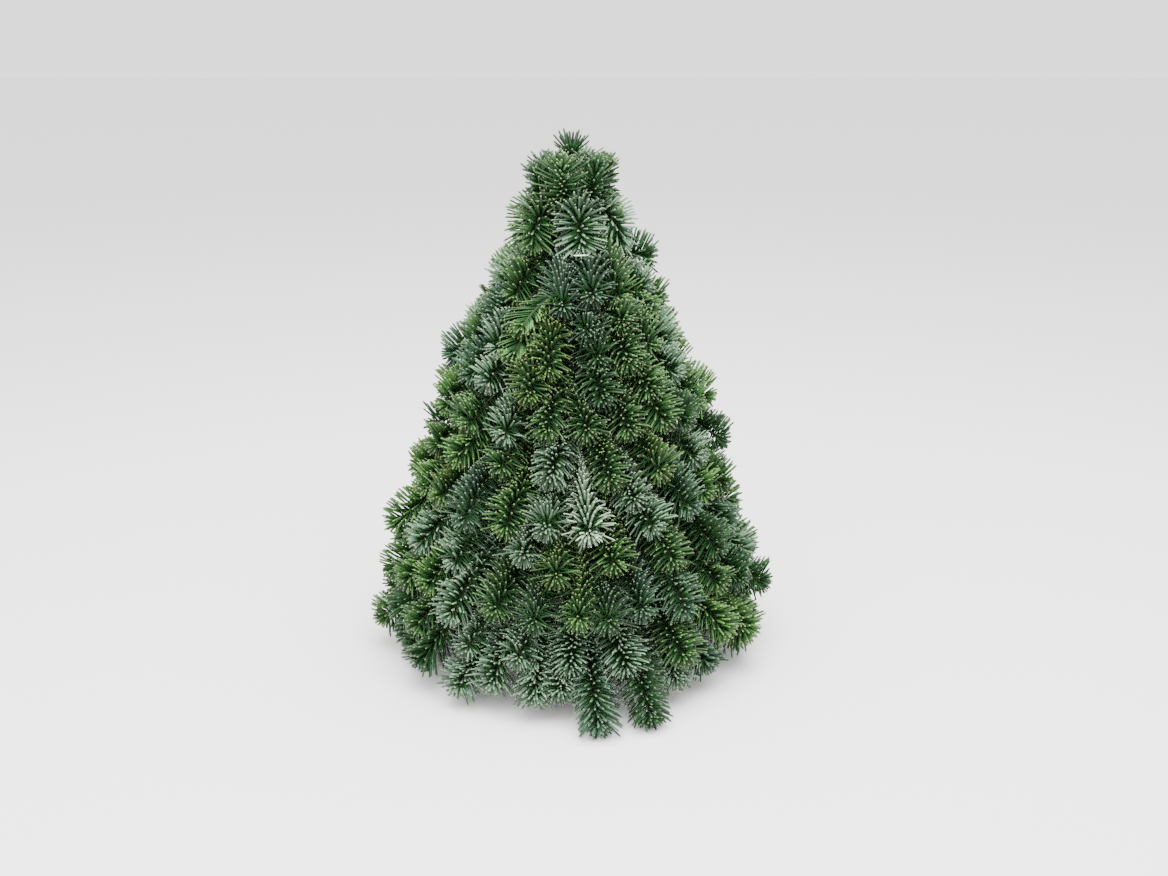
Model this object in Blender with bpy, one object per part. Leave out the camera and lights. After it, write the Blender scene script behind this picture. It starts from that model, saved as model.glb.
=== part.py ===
"""A table-top Christmas tree: cut noble fir sprays set in tiers round a foam cone, on a peg in a round wooden stand.

Metres, +Z up, the origin at the centre of the stand's underside. The front of the tree faces -Y, and a bearing
is an angle round the tree from there, positive towards +X.
"""

import math
import random
from collections import namedtuple

import bmesh
import bpy
from mathutils import Vector

# The whole tree
SEED = 11
# Half-width of the crown to its needle tips at each height
CROWN = ((0.000, 0.186), (0.085, 0.190), (0.170, 0.162), (0.250, 0.137), (0.310, 0.114), (0.360, 0.086),
         (0.410, 0.064), (0.450, 0.054), (0.500, 0.040))
NEEDLE_REACH = 0.018
CLEARANCE = 0.0003
GROUND_GAP = 0.0010

# The stand: a turned wooden disc with a blind socket
STAND_RADIUS = 0.082
STAND_HEIGHT = 0.018
STAND_EDGE = 0.0025
STAND_SIDES = 48
SOCKET_FLOOR = 0.006

# The trunk: a peeled fir stem, cut flat at both ends
TRUNK_FOOT_RADIUS = 0.0130
TRUNK_TIP_RADIUS = 0.0045
TRUNK_TOP = 0.4250
TRUNK_SIDES = 16
FLARE_HEIGHT = 0.030
FLARE = 0.0020

# The foam cone that the sprays are pinned to, bored for the trunk
CONE_FOOT_RADIUS = 0.088
CONE_TOP_RADIUS = 0.011
CONE_BASE = STAND_HEIGHT + CLEARANCE
CONE_TOP = 0.385
CONE_SIDES = 36
BORE_GAP = 0.0004

# The sprays
STEM_RADIUS = 0.0034
STEM_SIDES = 6
STEM_OVERRUN = 0.004
STAGGER = 0.008
SHOOT_SIDES = 6
# Fraction of a shoot's length, radius of its body there, and reach of the needles that stand out there
SHOOT_RINGS = ((0.00, 0.0026, 0.0026), (0.34, 0.0130, 0.0200), (0.66, 0.0145, 0.0210), (0.96, 0.0110, 0.0175))
NEEDLE_SWEEP = 0.006
TERMINAL_NEEDLES = 0.013
SHOOT_GAP = 0.0036
NEIGHBOURHOOD = 0.090
STRAIGHT = 1e-7
SHRINK = 0.92
LEAST_SHARE = 0.12

# Each tier: its sprays round the tree, the bearing of the first, and its rows of shoots.
# Each row: the height of its tips, how many each spray has, and how far above its tip a shoot leaves the stem.
Tier = namedtuple("Tier", "name sprays first_bearing rows")
Row = namedtuple("Row", "tip_height tips rise")
TIERS = (
    Tier("skirt", 10, 9.0, (Row(0.030, 3, 0.050), Row(0.060, 2, 0.050))),
    Tier("low", 9, 28.0, (Row(0.100, 3, 0.048), Row(0.140, 2, 0.048))),
    Tier("middle", 8, 6.0, (Row(0.180, 3, 0.046), Row(0.219, 2, 0.046))),
    Tier("high", 7, 26.0, (Row(0.256, 3, 0.044), Row(0.291, 2, 0.044))),
    Tier("shoulder", 6, -6.0, (Row(0.318, 3, 0.042), Row(0.345, 2, 0.032))),
    Tier("neck", 4, 6.0, (Row(0.370, 3, 0.040),)),
)
TIP_JITTER = 0.006
BEARING_JITTER = 0.10
# Where a shoot's bow stands between its root and its tip: outwards, and downwards
BOW_OUT = 0.50
BOW_DOWN = 0.12
BOW_JITTER = 0.006

# Shoots that stand out from the rule: the bearing, height and reach of the tip that the nearest shoot takes
Stray = namedtuple("Stray", "name bearing tip_height reach")
STRAYS = (
    Stray("front left, lying out on the ground", 7, 0.015, 0.196),
    Stray("front right, lying out on the ground", 21, 0.015, 0.194),
    Stray("left foot", -83, 0.036, 0.185),
    Stray("left, second row", -85, 0.082, 0.175),
    Stray("left, third row", -90, 0.127, 0.171),
    Stray("left waist", -86, 0.188, 0.144),
    Stray("left shoulder", -89, 0.300, 0.108),
    Stray("right foot", 67, 0.044, 0.180),
    Stray("right, the longest", 85, 0.070, 0.184),
    Stray("right waist", 91, 0.214, 0.140),
    Stray("right shoulder", 90, 0.258, 0.124),
    Stray("right, under the head", 94, 0.350, 0.076),
    Stray("right of the neck", 92, 0.392, 0.064),
    Stray("front, the palest", 6, 0.176, 0.146),
    Stray("front left of the palest", -16, 0.155, 0.148),
    Stray("front right, upper of a pair", 24, 0.200, 0.136),
    Stray("front right, lower of a pair", 30, 0.174, 0.142),
    Stray("the fork's longer arm", -29, 0.345, 0.084),
    Stray("the fork's shorter arm", -6, 0.362, 0.070),
    Stray("hanging down the neck", 15, 0.372, 0.072),
)

# The leader: one shoot bound upright on the trunk's end, with one ring that stands up round it and one that hangs.
# Each ring: its shoots, the bearing of the first, the height of its roots, then how far out and how high its bows
# and its tips stand.
LEADER_STEM = 0.022
LEADER_TOP = 0.4860
LEADER_JITTER = 0.04
LeaderRing = namedtuple("LeaderRing", "shoots first_bearing root_height bow_reach bow_height tip_reach tip_height")
LEADER_RINGS = (
    LeaderRing(6, -17.0, 0.4345, 0.030, 0.441, 0.031, 0.474),
    LeaderRing(6, 13.0, 0.4330, 0.042, 0.447, 0.046, 0.408),
)

Shoot = namedtuple("Shoot", "root bow tip")
Spray = namedtuple("Spray", "name stem shoots outward")


def smooth_between(pairs, height):
    """The value that a list of (height, value) pairs gives at a height, on straight runs between them."""
    for (low, first), (high, second) in zip(pairs, pairs[1:]):
        if height <= high:
            return first + (second - first) * max(0.0, height - low) / (high - low)
    return pairs[-1][1]


def at_bearing(bearing, radius, height):
    """The point at that bearing in degrees, that far from the trunk's axis."""
    angle = math.radians(bearing)
    return Vector((radius * math.sin(angle), -radius * math.cos(angle), height))


def trunk_radius(height):
    """The trunk's radius, tapering from its flared foot to its tip."""
    share = (height - SOCKET_FLOOR) / (TRUNK_TOP - SOCKET_FLOOR)
    flare = FLARE * max(0.0, 1.0 - (height - SOCKET_FLOOR) / FLARE_HEIGHT) ** 2
    return TRUNK_FOOT_RADIUS + (TRUNK_TIP_RADIUS - TRUNK_FOOT_RADIUS) * share + flare


def cone_radius(height):
    """The foam cone's outer radius."""
    share = (height - CONE_BASE) / (CONE_TOP - CONE_BASE)
    return CONE_FOOT_RADIUS + (CONE_TOP_RADIUS - CONE_FOOT_RADIUS) * share


def core_radius(height):
    """The radius of what stands inside the foliage: the cone's line, which the stand keeps within, then the trunk."""
    return max(cone_radius(height), trunk_radius(height))


def spray_of(tier, number, rng):
    """One cut spray: a bare stem laid down the core, and rows of shoots that fork off it to the crown's surface."""
    step = 360.0 / tier.sprays
    middle = tier.first_bearing + step * (number + BEARING_JITTER * rng.uniform(-1, 1))
    shoots = []
    for row in tier.rows:
        for place in range(row.tips):
            side = (place - (row.tips - 1) / 2) / max(row.tips, 2)
            bearing = middle + step * (side + BEARING_JITTER * 0.6 * rng.uniform(-1, 1))
            height = row.tip_height + TIP_JITTER * rng.uniform(-1, 1)
            reach = smooth_between(CROWN, height) - NEEDLE_REACH + TIP_JITTER * rng.uniform(-1, 1)
            root_height = height + row.rise + STAGGER * place
            root = stem_point(middle, min(root_height, CORE_END[tier.name] - STAGGER * (row.tips - place)))
            shoots.append(arched(root, bearing, reach, height, rng))
    roots = [shoot.root.z for shoot in shoots]
    stem = (stem_point(middle, min(roots) - STEM_OVERRUN), stem_point(middle, max(roots) + STEM_OVERRUN))
    return Spray(f"spray_{tier.name}_{number + 1:02d}", stem, shoots, at_bearing(middle, 1.0, 0.0))


def arched(root, bearing, reach, height, rng):
    """A shoot that leaves its stem sideways, then droops in an arch to a tip at that bearing, reach and height."""
    start = math.hypot(root.x, root.y)
    bow_height = root.z + (height - root.z) * BOW_DOWN
    bow = at_bearing(bearing, start + (reach - start) * BOW_OUT, bow_height)
    bow += Vector((rng.uniform(-1, 1), rng.uniform(-1, 1), rng.uniform(-1, 1))) * BOW_JITTER
    return Shoot(root, bow, at_bearing(bearing, reach, height))


CORE_END = {tier.name: CONE_TOP - 0.004 for tier in TIERS}
CORE_END["neck"] = TRUNK_TOP - 0.006


def stem_point(bearing, height):
    """A point on the line of a stem that lies along the core at that bearing."""
    slope = math.atan2(CONE_FOOT_RADIUS - CONE_TOP_RADIUS, CONE_TOP - CONE_BASE)
    return at_bearing(bearing, core_radius(height) + (STEM_RADIUS + CLEARANCE) / math.cos(slope), height)


def leader(rng):
    """The shoots of the tree's tip: one upright on the trunk's end, and two rings that bow out round it."""
    foot = Vector((0, 0, TRUNK_TOP + CLEARANCE))
    head = foot + Vector((0, 0, LEADER_STEM))
    shoots = [Shoot(foot, head, Vector((0, 0, LEADER_TOP)))]
    for ring in LEADER_RINGS:
        root = Vector((0, 0, ring.root_height))
        for number in range(ring.shoots):
            bearing = ring.first_bearing + 360.0 * (number + LEADER_JITTER * rng.uniform(-1, 1)) / ring.shoots
            height = ring.tip_height + TIP_JITTER * rng.uniform(-1, 1)
            bow = at_bearing(bearing, ring.bow_reach, ring.bow_height)
            shoots.append(Shoot(root, bow, at_bearing(bearing, ring.tip_reach, height)))
    return Spray("spray_leader", (foot, head), shoots, None)


def stray_to(sprays, stray, moved, rng):
    """Moves the tip of the nearest shoot that hasn't strayed yet to where the stray one stands."""
    tip = at_bearing(stray.bearing, stray.reach, stray.tip_height)
    places = [(spray, number) for spray in sprays for number in range(len(spray.shoots))]
    left = [place for place in places if (place[0].name, place[1]) not in moved]
    spray, number = min(left, key=lambda place: (place[0].shoots[place[1]].tip - tip).length)
    root = spray.shoots[number].root
    spray.shoots[number] = arched(root, stray.bearing, stray.reach, stray.tip_height, rng)
    moved.add((spray.name, number))


def all_sprays():
    """Every spray of the tree, tier by tier, with the leader last."""
    rng = random.Random(SEED)
    sprays = [spray_of(tier, number, rng) for tier in TIERS for number in range(tier.sprays)]
    moved = set()
    for stray in STRAYS:
        stray_to(sprays, stray, moved, rng)
    return [*sprays, leader(rng)]


def along(shoot, share):
    """The point at that share of a shoot's bowed line."""
    first = shoot.root.lerp(shoot.bow, share)
    return first.lerp(shoot.bow.lerp(shoot.tip, share), share)


def nearest_on(start, end, point):
    """The point of a straight piece nearest to another point."""
    run = end - start
    share = max(0.0, min(1.0, (point - start).dot(run) / run.length_squared))
    return start + run * share


def bones_of(shoot):
    """The straight pieces that stand for a shoot when room is shared out."""
    points = [along(shoot, share) for share in (0.0, 0.33, 0.67, 1.0)]
    return list(zip(points, points[1:]))


def all_bones(sprays):
    """The straight pieces of the whole tree: a list for each spray's stem, then one for each of its shoots."""
    return {spray.name: [[spray.stem], *(bones_of(shoot) for shoot in spray.shoots)] for spray in sprays}


def reach_of(bones, point):
    """The distance from a point to the nearest of some straight pieces."""
    return min((point - nearest_on(start, end, point)).length for start, end in bones)


def room_of(spray, number, bones):
    """What bounds one shoot: its own pieces, those of every shoot and stem near it, and the way out of the core."""
    own = bones[spray.name][number + 1]
    centre = along(spray.shoots[number], 0.6)
    others = []
    for name, lists in bones.items():
        for place, pieces in enumerate(lists):
            if name != spray.name or place not in (0, number + 1):
                others += pieces
    return own, [piece for piece in others if reach_of([piece], centre) < NEIGHBOURHOOD], spray.outward


def clear_of_core(point, tip, outward):
    """True if a point is outside the core's face, or for a shoot of the leader beyond a slope off the trunk's end."""
    if outward:
        return point.dot(outward) > core_radius(point.z) + 2 * CLEARANCE
    side = Vector((tip.x, tip.y, 0.0))
    out = point.dot(side.normalized()) if side.length > STRAIGHT else 0.0
    return out + point.z > TRUNK_TOP + trunk_radius(TRUNK_TOP) + 2 * CLEARANCE


def has_room(point, own, others, outward):
    """True if a point of a shoot is off the ground, clear of the core, and nearer to its own line than to others."""
    if point.z < GROUND_GAP or not clear_of_core(point, own[-1][1], outward):
        return False
    return reach_of(others, point) - reach_of(own, point) > SHOOT_GAP


def drawn_in(point, centre, room):
    """A point moved towards its shoot's line until it has room, or None where even the line has none."""
    share = 1.0
    while not has_room(centre + (point - centre) * share, *room):
        share *= SHRINK
        if share < LEAST_SHARE:
            return None
    return centre + (point - centre) * share


def mesh_object(name, points, faces):
    """A new mesh object from points and faces, with its faces turned outwards."""
    mesh = bpy.data.meshes.new(name)
    mesh.from_pydata([tuple(p) for p in points], [], faces)
    shell = bmesh.new()
    shell.from_mesh(mesh)
    bmesh.ops.recalc_face_normals(shell, faces=shell.faces)
    bmesh.ops.triangulate(shell, faces=shell.faces)
    shell.to_mesh(mesh)
    shell.free()
    return bpy.data.objects.new(name, mesh)


def ring_faces(rings, sides):
    """Faces of a tube of several rings of points, closed by a fan at the far point and a flat foot."""
    faces = [tuple(range(sides))]
    for ring in range(rings - 1):
        for side in range(sides):
            here, there = ring * sides + side, ring * sides + (side + 1) % sides
            faces.append((here, there, there + sides, here + sides))
    last = (rings - 1) * sides
    faces += [(last + side, last + (side + 1) % sides, rings * sides) for side in range(sides)]
    return faces


def shoot_object(name, shoot, room, turn):
    """A shoot as a slim body whose alternate corners stand out as needles, closed by the needles round its bud.

    None if some part of it would have no room.
    """
    points = []
    across = (shoot.tip - shoot.root).cross(shoot.bow - shoot.root)
    across = across.normalized() if across.length > STRAIGHT else Vector((1, 0, 0))
    for number, (share, body, reach) in enumerate(SHOOT_RINGS):
        centre = along(shoot, share)
        ahead = (along(shoot, share + 0.02) - along(shoot, share - 0.02)).normalized()
        upright = ahead.cross(across)
        for side in range(SHOOT_SIDES):
            angle = turn + math.tau * side / SHOOT_SIDES
            away = across * math.cos(angle) + upright * math.sin(angle)
            stands_out = number > 0 and (side + number) % 2 == 0
            point = centre + away * (reach if stands_out else body)
            if stands_out:
                point += ahead * NEEDLE_SWEEP
            points.append(point if number == 0 else drawn_in(point, centre, room))
    ahead = (shoot.tip - along(shoot, 0.9)).normalized()
    points.append(drawn_in(shoot.tip + ahead * TERMINAL_NEEDLES, shoot.tip, room))
    if None in points:
        return None
    return mesh_object(name, points, ring_faces(len(SHOOT_RINGS), SHOOT_SIDES))


def stem_object(name, stem):
    """A spray's bare stem: a six-sided rod with one corner towards the tree's axis, pointed at its outer end."""
    low, high = stem
    ahead = (high - low).normalized()
    inward = Vector((-low.x, -low.y, 0.0))
    inward = (inward - ahead * inward.dot(ahead)).normalized() if inward.length > 1e-6 else Vector((1, 0, 0))
    beside = ahead.cross(inward)
    points = []
    for end in (low, high):
        for side in range(STEM_SIDES):
            angle = math.tau * side / STEM_SIDES
            points.append(end + (inward * math.cos(angle) + beside * math.sin(angle)) * STEM_RADIUS)
    points.append(high + ahead * STEM_RADIUS * 0.5)
    return mesh_object(name, points, ring_faces(2, STEM_SIDES))


def joined(base, pieces):
    """A base object with some pieces fused to it by one union, which is applied, and the pieces removed."""
    group = bpy.data.collections.new(base.name + "_shoots")
    for piece in pieces:
        group.objects.link(piece)
    bpy.context.scene.collection.children.link(group)
    union = base.modifiers.new("union", "BOOLEAN")
    union.operation = "UNION"
    union.operand_type = "COLLECTION"
    union.collection = group
    union.solver = "EXACT"
    bpy.context.view_layer.update()
    graph = bpy.context.evaluated_depsgraph_get()
    fused = bpy.data.meshes.new_from_object(base.evaluated_get(graph), depsgraph=graph)
    base.modifiers.clear()
    base.data = fused
    for piece in pieces:
        bpy.data.objects.remove(piece)
    bpy.data.collections.remove(group)
    return base


def shell_faces(start):
    """Every face of the shell that a corner belongs to."""
    reached, waiting = {start}, [start]
    while waiting:
        for edge in waiting.pop().link_edges:
            for corner in edge.verts:
                if corner not in reached:
                    reached.add(corner)
                    waiting.append(corner)
    return reached, {face for corner in reached for face in corner.link_faces}


def one_body(mesh):
    """Leaves only the largest shell of a mesh, so that no sealed hollow or loose scrap stays in it."""
    shell = bmesh.new()
    shell.from_mesh(mesh)
    left, shells = set(shell.verts), []
    while left:
        corners, faces = shell_faces(next(iter(left)))
        left -= corners
        shells.append((sum(face.calc_area() for face in faces), corners))
    largest = max(shells, key=lambda entry: entry[0])[1]
    bmesh.ops.delete(shell, geom=[corner for corner in shell.verts if corner not in largest], context="VERTS")
    shell.to_mesh(mesh)
    shell.free()


def spray_object(spray, bones, foliage):
    """The solid of one spray: its stem with every shoot that has room fused to it."""
    rng = random.Random(f"{SEED} {spray.name}")
    base = stem_object(spray.name, spray.stem)
    bpy.context.scene.collection.objects.link(base)
    pieces = []
    for number, shoot in enumerate(spray.shoots):
        room = room_of(spray, number, bones)
        pieces.append(shoot_object(f"{spray.name}_{number}", shoot, room, rng.uniform(0, math.tau)))
    joined(base, [piece for piece in pieces if piece])
    one_body(base.data)
    base.data.materials.clear()
    base.data.materials.append(foliage)


def ring_of(shell, radius, height, sides):
    """New points of a shell on a level ring, or the one point where the ring has no radius."""
    if radius == 0.0:
        return [shell.verts.new((0, 0, height))]
    turns = [math.tau * side / sides for side in range(sides)]
    return [shell.verts.new((radius * math.cos(turn), radius * math.sin(turn), height)) for turn in turns]


def turned_object(name, profile, sides, material):
    """A solid turned about the Z axis from (radius, height) points, which begin and end on the axis or form a ring."""
    shell = bmesh.new()
    rings = [ring_of(shell, radius, height, sides) for radius, height in profile]
    if profile[0][0] > 0.0:
        rings.append(rings[0])
    for low, high in zip(rings, rings[1:]):
        for side in range(sides):
            after = (side + 1) % sides
            corners = [low[side % len(low)], low[after % len(low)], high[after % len(high)], high[side % len(high)]]
            shell.faces.new(list(dict.fromkeys(corners)))
    bmesh.ops.recalc_face_normals(shell, faces=shell.faces)
    mesh = bpy.data.meshes.new(name)
    shell.to_mesh(mesh)
    shell.free()
    mesh.shade_smooth()
    mesh.set_sharp_from_angle(angle=math.radians(30))
    mesh.materials.append(material)
    bpy.context.scene.collection.objects.link(bpy.data.objects.new(name, mesh))


def finish(name, colour, roughness):
    """A plain Principled material."""
    material = bpy.data.materials.new(name)
    material.use_nodes = True
    surface = material.node_tree.nodes["Principled BSDF"]
    surface.inputs["Base Color"].default_value = (*colour, 1.0)
    surface.inputs["Roughness"].default_value = roughness
    surface.inputs["Metallic"].default_value = 0.0
    return material


def stand(material):
    """The wooden disc, with an eased edge and a blind socket for the trunk."""
    socket = trunk_radius(SOCKET_FLOOR) + CLEARANCE
    profile = (
        (0.0, 0.0),
        (STAND_RADIUS - STAND_EDGE, 0.0),
        (STAND_RADIUS, STAND_EDGE),
        (STAND_RADIUS, STAND_HEIGHT - STAND_EDGE),
        (STAND_RADIUS - STAND_EDGE, STAND_HEIGHT),
        (socket, STAND_HEIGHT),
        (socket, SOCKET_FLOOR - CLEARANCE),
        (0.0, SOCKET_FLOOR - CLEARANCE),
    )
    turned_object("stand", profile, STAND_SIDES, material)


TRUNK_HEIGHTS = (SOCKET_FLOOR, STAND_HEIGHT, FLARE_HEIGHT + SOCKET_FLOOR, TRUNK_TOP)


def trunk(material):
    """The trunk, from its flat cut in the stand to its tip."""
    sides = [(trunk_radius(height), height) for height in TRUNK_HEIGHTS]
    turned_object("trunk", ((0.0, SOCKET_FLOOR), *sides, (0.0, TRUNK_TOP)), TRUNK_SIDES, material)


def foam_cone(material):
    """The foam cone, bored right through for the trunk."""
    profile = [(CONE_FOOT_RADIUS, CONE_BASE), (CONE_TOP_RADIUS, CONE_TOP)]
    for height in (CONE_TOP, TRUNK_HEIGHTS[2], CONE_BASE):
        profile.append((trunk_radius(height) + BORE_GAP, height))
    turned_object("foam_cone", profile, CONE_SIDES, material)


def main():
    """Clears the scene and builds the tree."""
    for left in list(bpy.data.objects):
        bpy.data.objects.remove(left)
    wood = finish("pale_wood", (0.52, 0.36, 0.21), 0.65)
    bark = finish("peeled_stem", (0.20, 0.13, 0.08), 0.8)
    foam = finish("green_foam", (0.030, 0.055, 0.030), 0.95)
    foliage = finish("fir_needles", (0.055, 0.10, 0.055), 0.6)
    stand(wood)
    trunk(bark)
    foam_cone(foam)
    sprays = all_sprays()
    bones = all_bones(sprays)
    for spray in sprays:
        spray_object(spray, bones, foliage)


main()
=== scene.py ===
"""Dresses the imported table-top Christmas tree: its foliage, bark, foam core, wire pins and wooden stand.

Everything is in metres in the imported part's own frame: +Z up, the origin under the middle of the stand, and
the tree's front towards -Y. A bearing is an angle in degrees round the tree from its front, positive to +X.
"""

import logging
import math
import random
from collections.abc import Callable, Iterable, Sequence
from dataclasses import dataclass, field
from enum import Enum

import bpy
import numpy as np
from mathutils import Matrix, Vector


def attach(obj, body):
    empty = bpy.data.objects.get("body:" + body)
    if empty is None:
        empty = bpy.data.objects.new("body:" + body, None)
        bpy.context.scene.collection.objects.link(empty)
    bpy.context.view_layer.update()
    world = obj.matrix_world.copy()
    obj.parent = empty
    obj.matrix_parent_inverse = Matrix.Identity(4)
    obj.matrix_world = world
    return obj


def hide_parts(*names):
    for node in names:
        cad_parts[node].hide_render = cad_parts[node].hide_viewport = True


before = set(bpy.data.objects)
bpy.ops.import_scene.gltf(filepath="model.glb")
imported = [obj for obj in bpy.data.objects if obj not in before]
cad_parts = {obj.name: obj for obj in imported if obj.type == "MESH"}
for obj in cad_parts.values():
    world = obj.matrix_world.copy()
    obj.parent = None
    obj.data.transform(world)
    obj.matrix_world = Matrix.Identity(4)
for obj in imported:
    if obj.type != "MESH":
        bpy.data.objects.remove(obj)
LOG = logging.getLogger("tree")
MM = 0.001
Triple = tuple[float, float, float]
UP = np.array([0.0, 0.0, 1.0])
FRONT = np.array([0.0, -1.0, 0.0])
LEADER = "spray_leader"

# Lengths, or their squares, that count as none
LEAST = 1e-12
NEARLY_NONE = 1e-6
MERGED_UNDER = 0.01 * MM

# The angle from one needle to the next round a twig, in radians, and a needle's sides
GOLDEN_ANGLE = 2.39996
NEEDLE_SIDES = 3
SEEDS_APART = 1000

# Directions that no shoot runs in, from which a tube's rings and a bud's side start
TUBE_START = (0.31, 0.22, 0.93)
BUD_START = (0.3, 0.5, 0.81)

# The spacing of the rings of a wave texture whose scale is 1
WAVE_LENGTH = 0.314

# The sharpest edges that are shaded smooth, in degrees, and the normal of a face that looks up
SMOOTH_UNDER = 30.0
SMOOTH_UNDER_ROUGH = 60.0
FACES_UP = 0.99


# Growth: where every shoot stands, by the same rule and seed as the solids


@dataclass(frozen=True)
class Row:
    """A row of shoots in a tier: its tips' height, how many a spray has, and how far above the roots are."""

    tip_height: float
    tips: int
    rise: float


@dataclass(frozen=True)
class Tier:
    """A tier of cut sprays round the tree, with the bearing of its first spray."""

    name: str
    sprays: int
    first_bearing: float
    rows: tuple[Row, ...]


@dataclass(frozen=True)
class LeaderRing:
    """A ring of shoots round the tree's tip: its first bearing, and where roots, bows and tips stand."""

    shoots: int
    first_bearing: float
    root_height: float
    bow_reach: float
    bow_height: float
    tip_reach: float
    tip_height: float


class Tint(Enum):
    """The colours that fir shoots come in, from frosted with wax to bare."""

    FROSTED = "frosted"
    GLAUCOUS = "glaucous"
    BLUE = "blue_green"
    GREEN = "mid_green"
    FRESH = "fresh_green"
    DARK = "dark_green"
    OLIVE = "olive"


class Habit(Enum):
    """How needles stand on a shoot: swept close like a brush, spread like a star, or flat like a comb."""

    BRUSH = "brush"
    STAR = "star"
    COMB = "comb"


@dataclass(frozen=True)
class Stray:
    """A shoot that stands out from the rule: where its tip is."""

    name: str
    bearing: float
    tip_height: float
    reach: float


@dataclass(frozen=True)
class Patch:
    """A place on the tree whose shoots share a tint and a habit."""

    bearing: float
    height: float
    tint: Tint
    habit: Habit = Habit.BRUSH


@dataclass
class Shoot:
    """One needled shoot, on a bowed line from its stem to its bud."""

    spray: str
    root: Vector
    bow: Vector
    tip: Vector
    tint: Tint = Tint.GREEN
    habit: Habit = Habit.BRUSH

    def along(self, share: float) -> Vector:
        """The point at that share of the bowed line."""
        first = self.root.lerp(self.bow, share)
        return first.lerp(self.bow.lerp(self.tip, share), share)

    def line(self, shares: np.ndarray) -> np.ndarray:
        """The points at several shares of the bowed line, one a row."""
        t = shares[:, None]
        root, bow, tip = (np.array(point) for point in (self.root, self.bow, self.tip))
        return (1 - t) ** 2 * root + 2 * t * (1 - t) * bow + t**2 * tip

    def headings(self, shares: np.ndarray) -> np.ndarray:
        """The unit directions of the bowed line at several shares, one a row."""
        t = shares[:, None]
        root, bow, tip = (np.array(point) for point in (self.root, self.bow, self.tip))
        return unit(2 * (1 - t) * (bow - root) + 2 * t * (tip - bow))


@dataclass
class Spray:
    """A cut fir branch: the ends of its bare stem, and its shoots."""

    name: str
    stem: tuple[Vector, Vector]
    shoots: list[Shoot]


def unit(rows: np.ndarray) -> np.ndarray:
    """Rows scaled to length one."""
    return rows / np.maximum(np.linalg.norm(rows, axis=-1, keepdims=True), LEAST)


def at_bearing(bearing: float, radius: float, height: float) -> Vector:
    """The point at that bearing, that far from the trunk's axis."""
    angle = math.radians(bearing)
    return Vector((radius * math.sin(angle), -radius * math.cos(angle), height))


@dataclass(frozen=True)
class Core:
    """What stands inside the foliage: the trunk and the foam cone that it passes through."""

    socket_floor: float = 0.006
    trunk_top: float = 0.4250
    trunk_foot_radius: float = 0.0130
    trunk_tip_radius: float = 0.0045
    flare_height: float = 0.030
    flare: float = 0.0020
    cone_base: float = 0.0183
    cone_top: float = 0.385
    cone_foot_radius: float = 0.088
    cone_top_radius: float = 0.011
    clearance: float = 0.0003

    def trunk_radius(self, height: float) -> float:
        """The trunk's radius, tapering from its flared foot to its tip."""
        above = height - self.socket_floor
        share = above / (self.trunk_top - self.socket_floor)
        flare = self.flare * max(0.0, 1.0 - above / self.flare_height) ** 2
        return self.trunk_foot_radius + (self.trunk_tip_radius - self.trunk_foot_radius) * share + flare

    def cone_radius(self, height: float) -> float:
        """The foam cone's outer radius, on the line that runs on past its ends."""
        share = (height - self.cone_base) / (self.cone_top - self.cone_base)
        return self.cone_foot_radius + (self.cone_top_radius - self.cone_foot_radius) * share

    def radius(self, height: float) -> float:
        """The radius inside which no foliage stands."""
        return max(self.cone_radius(height), self.trunk_radius(height))


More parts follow.
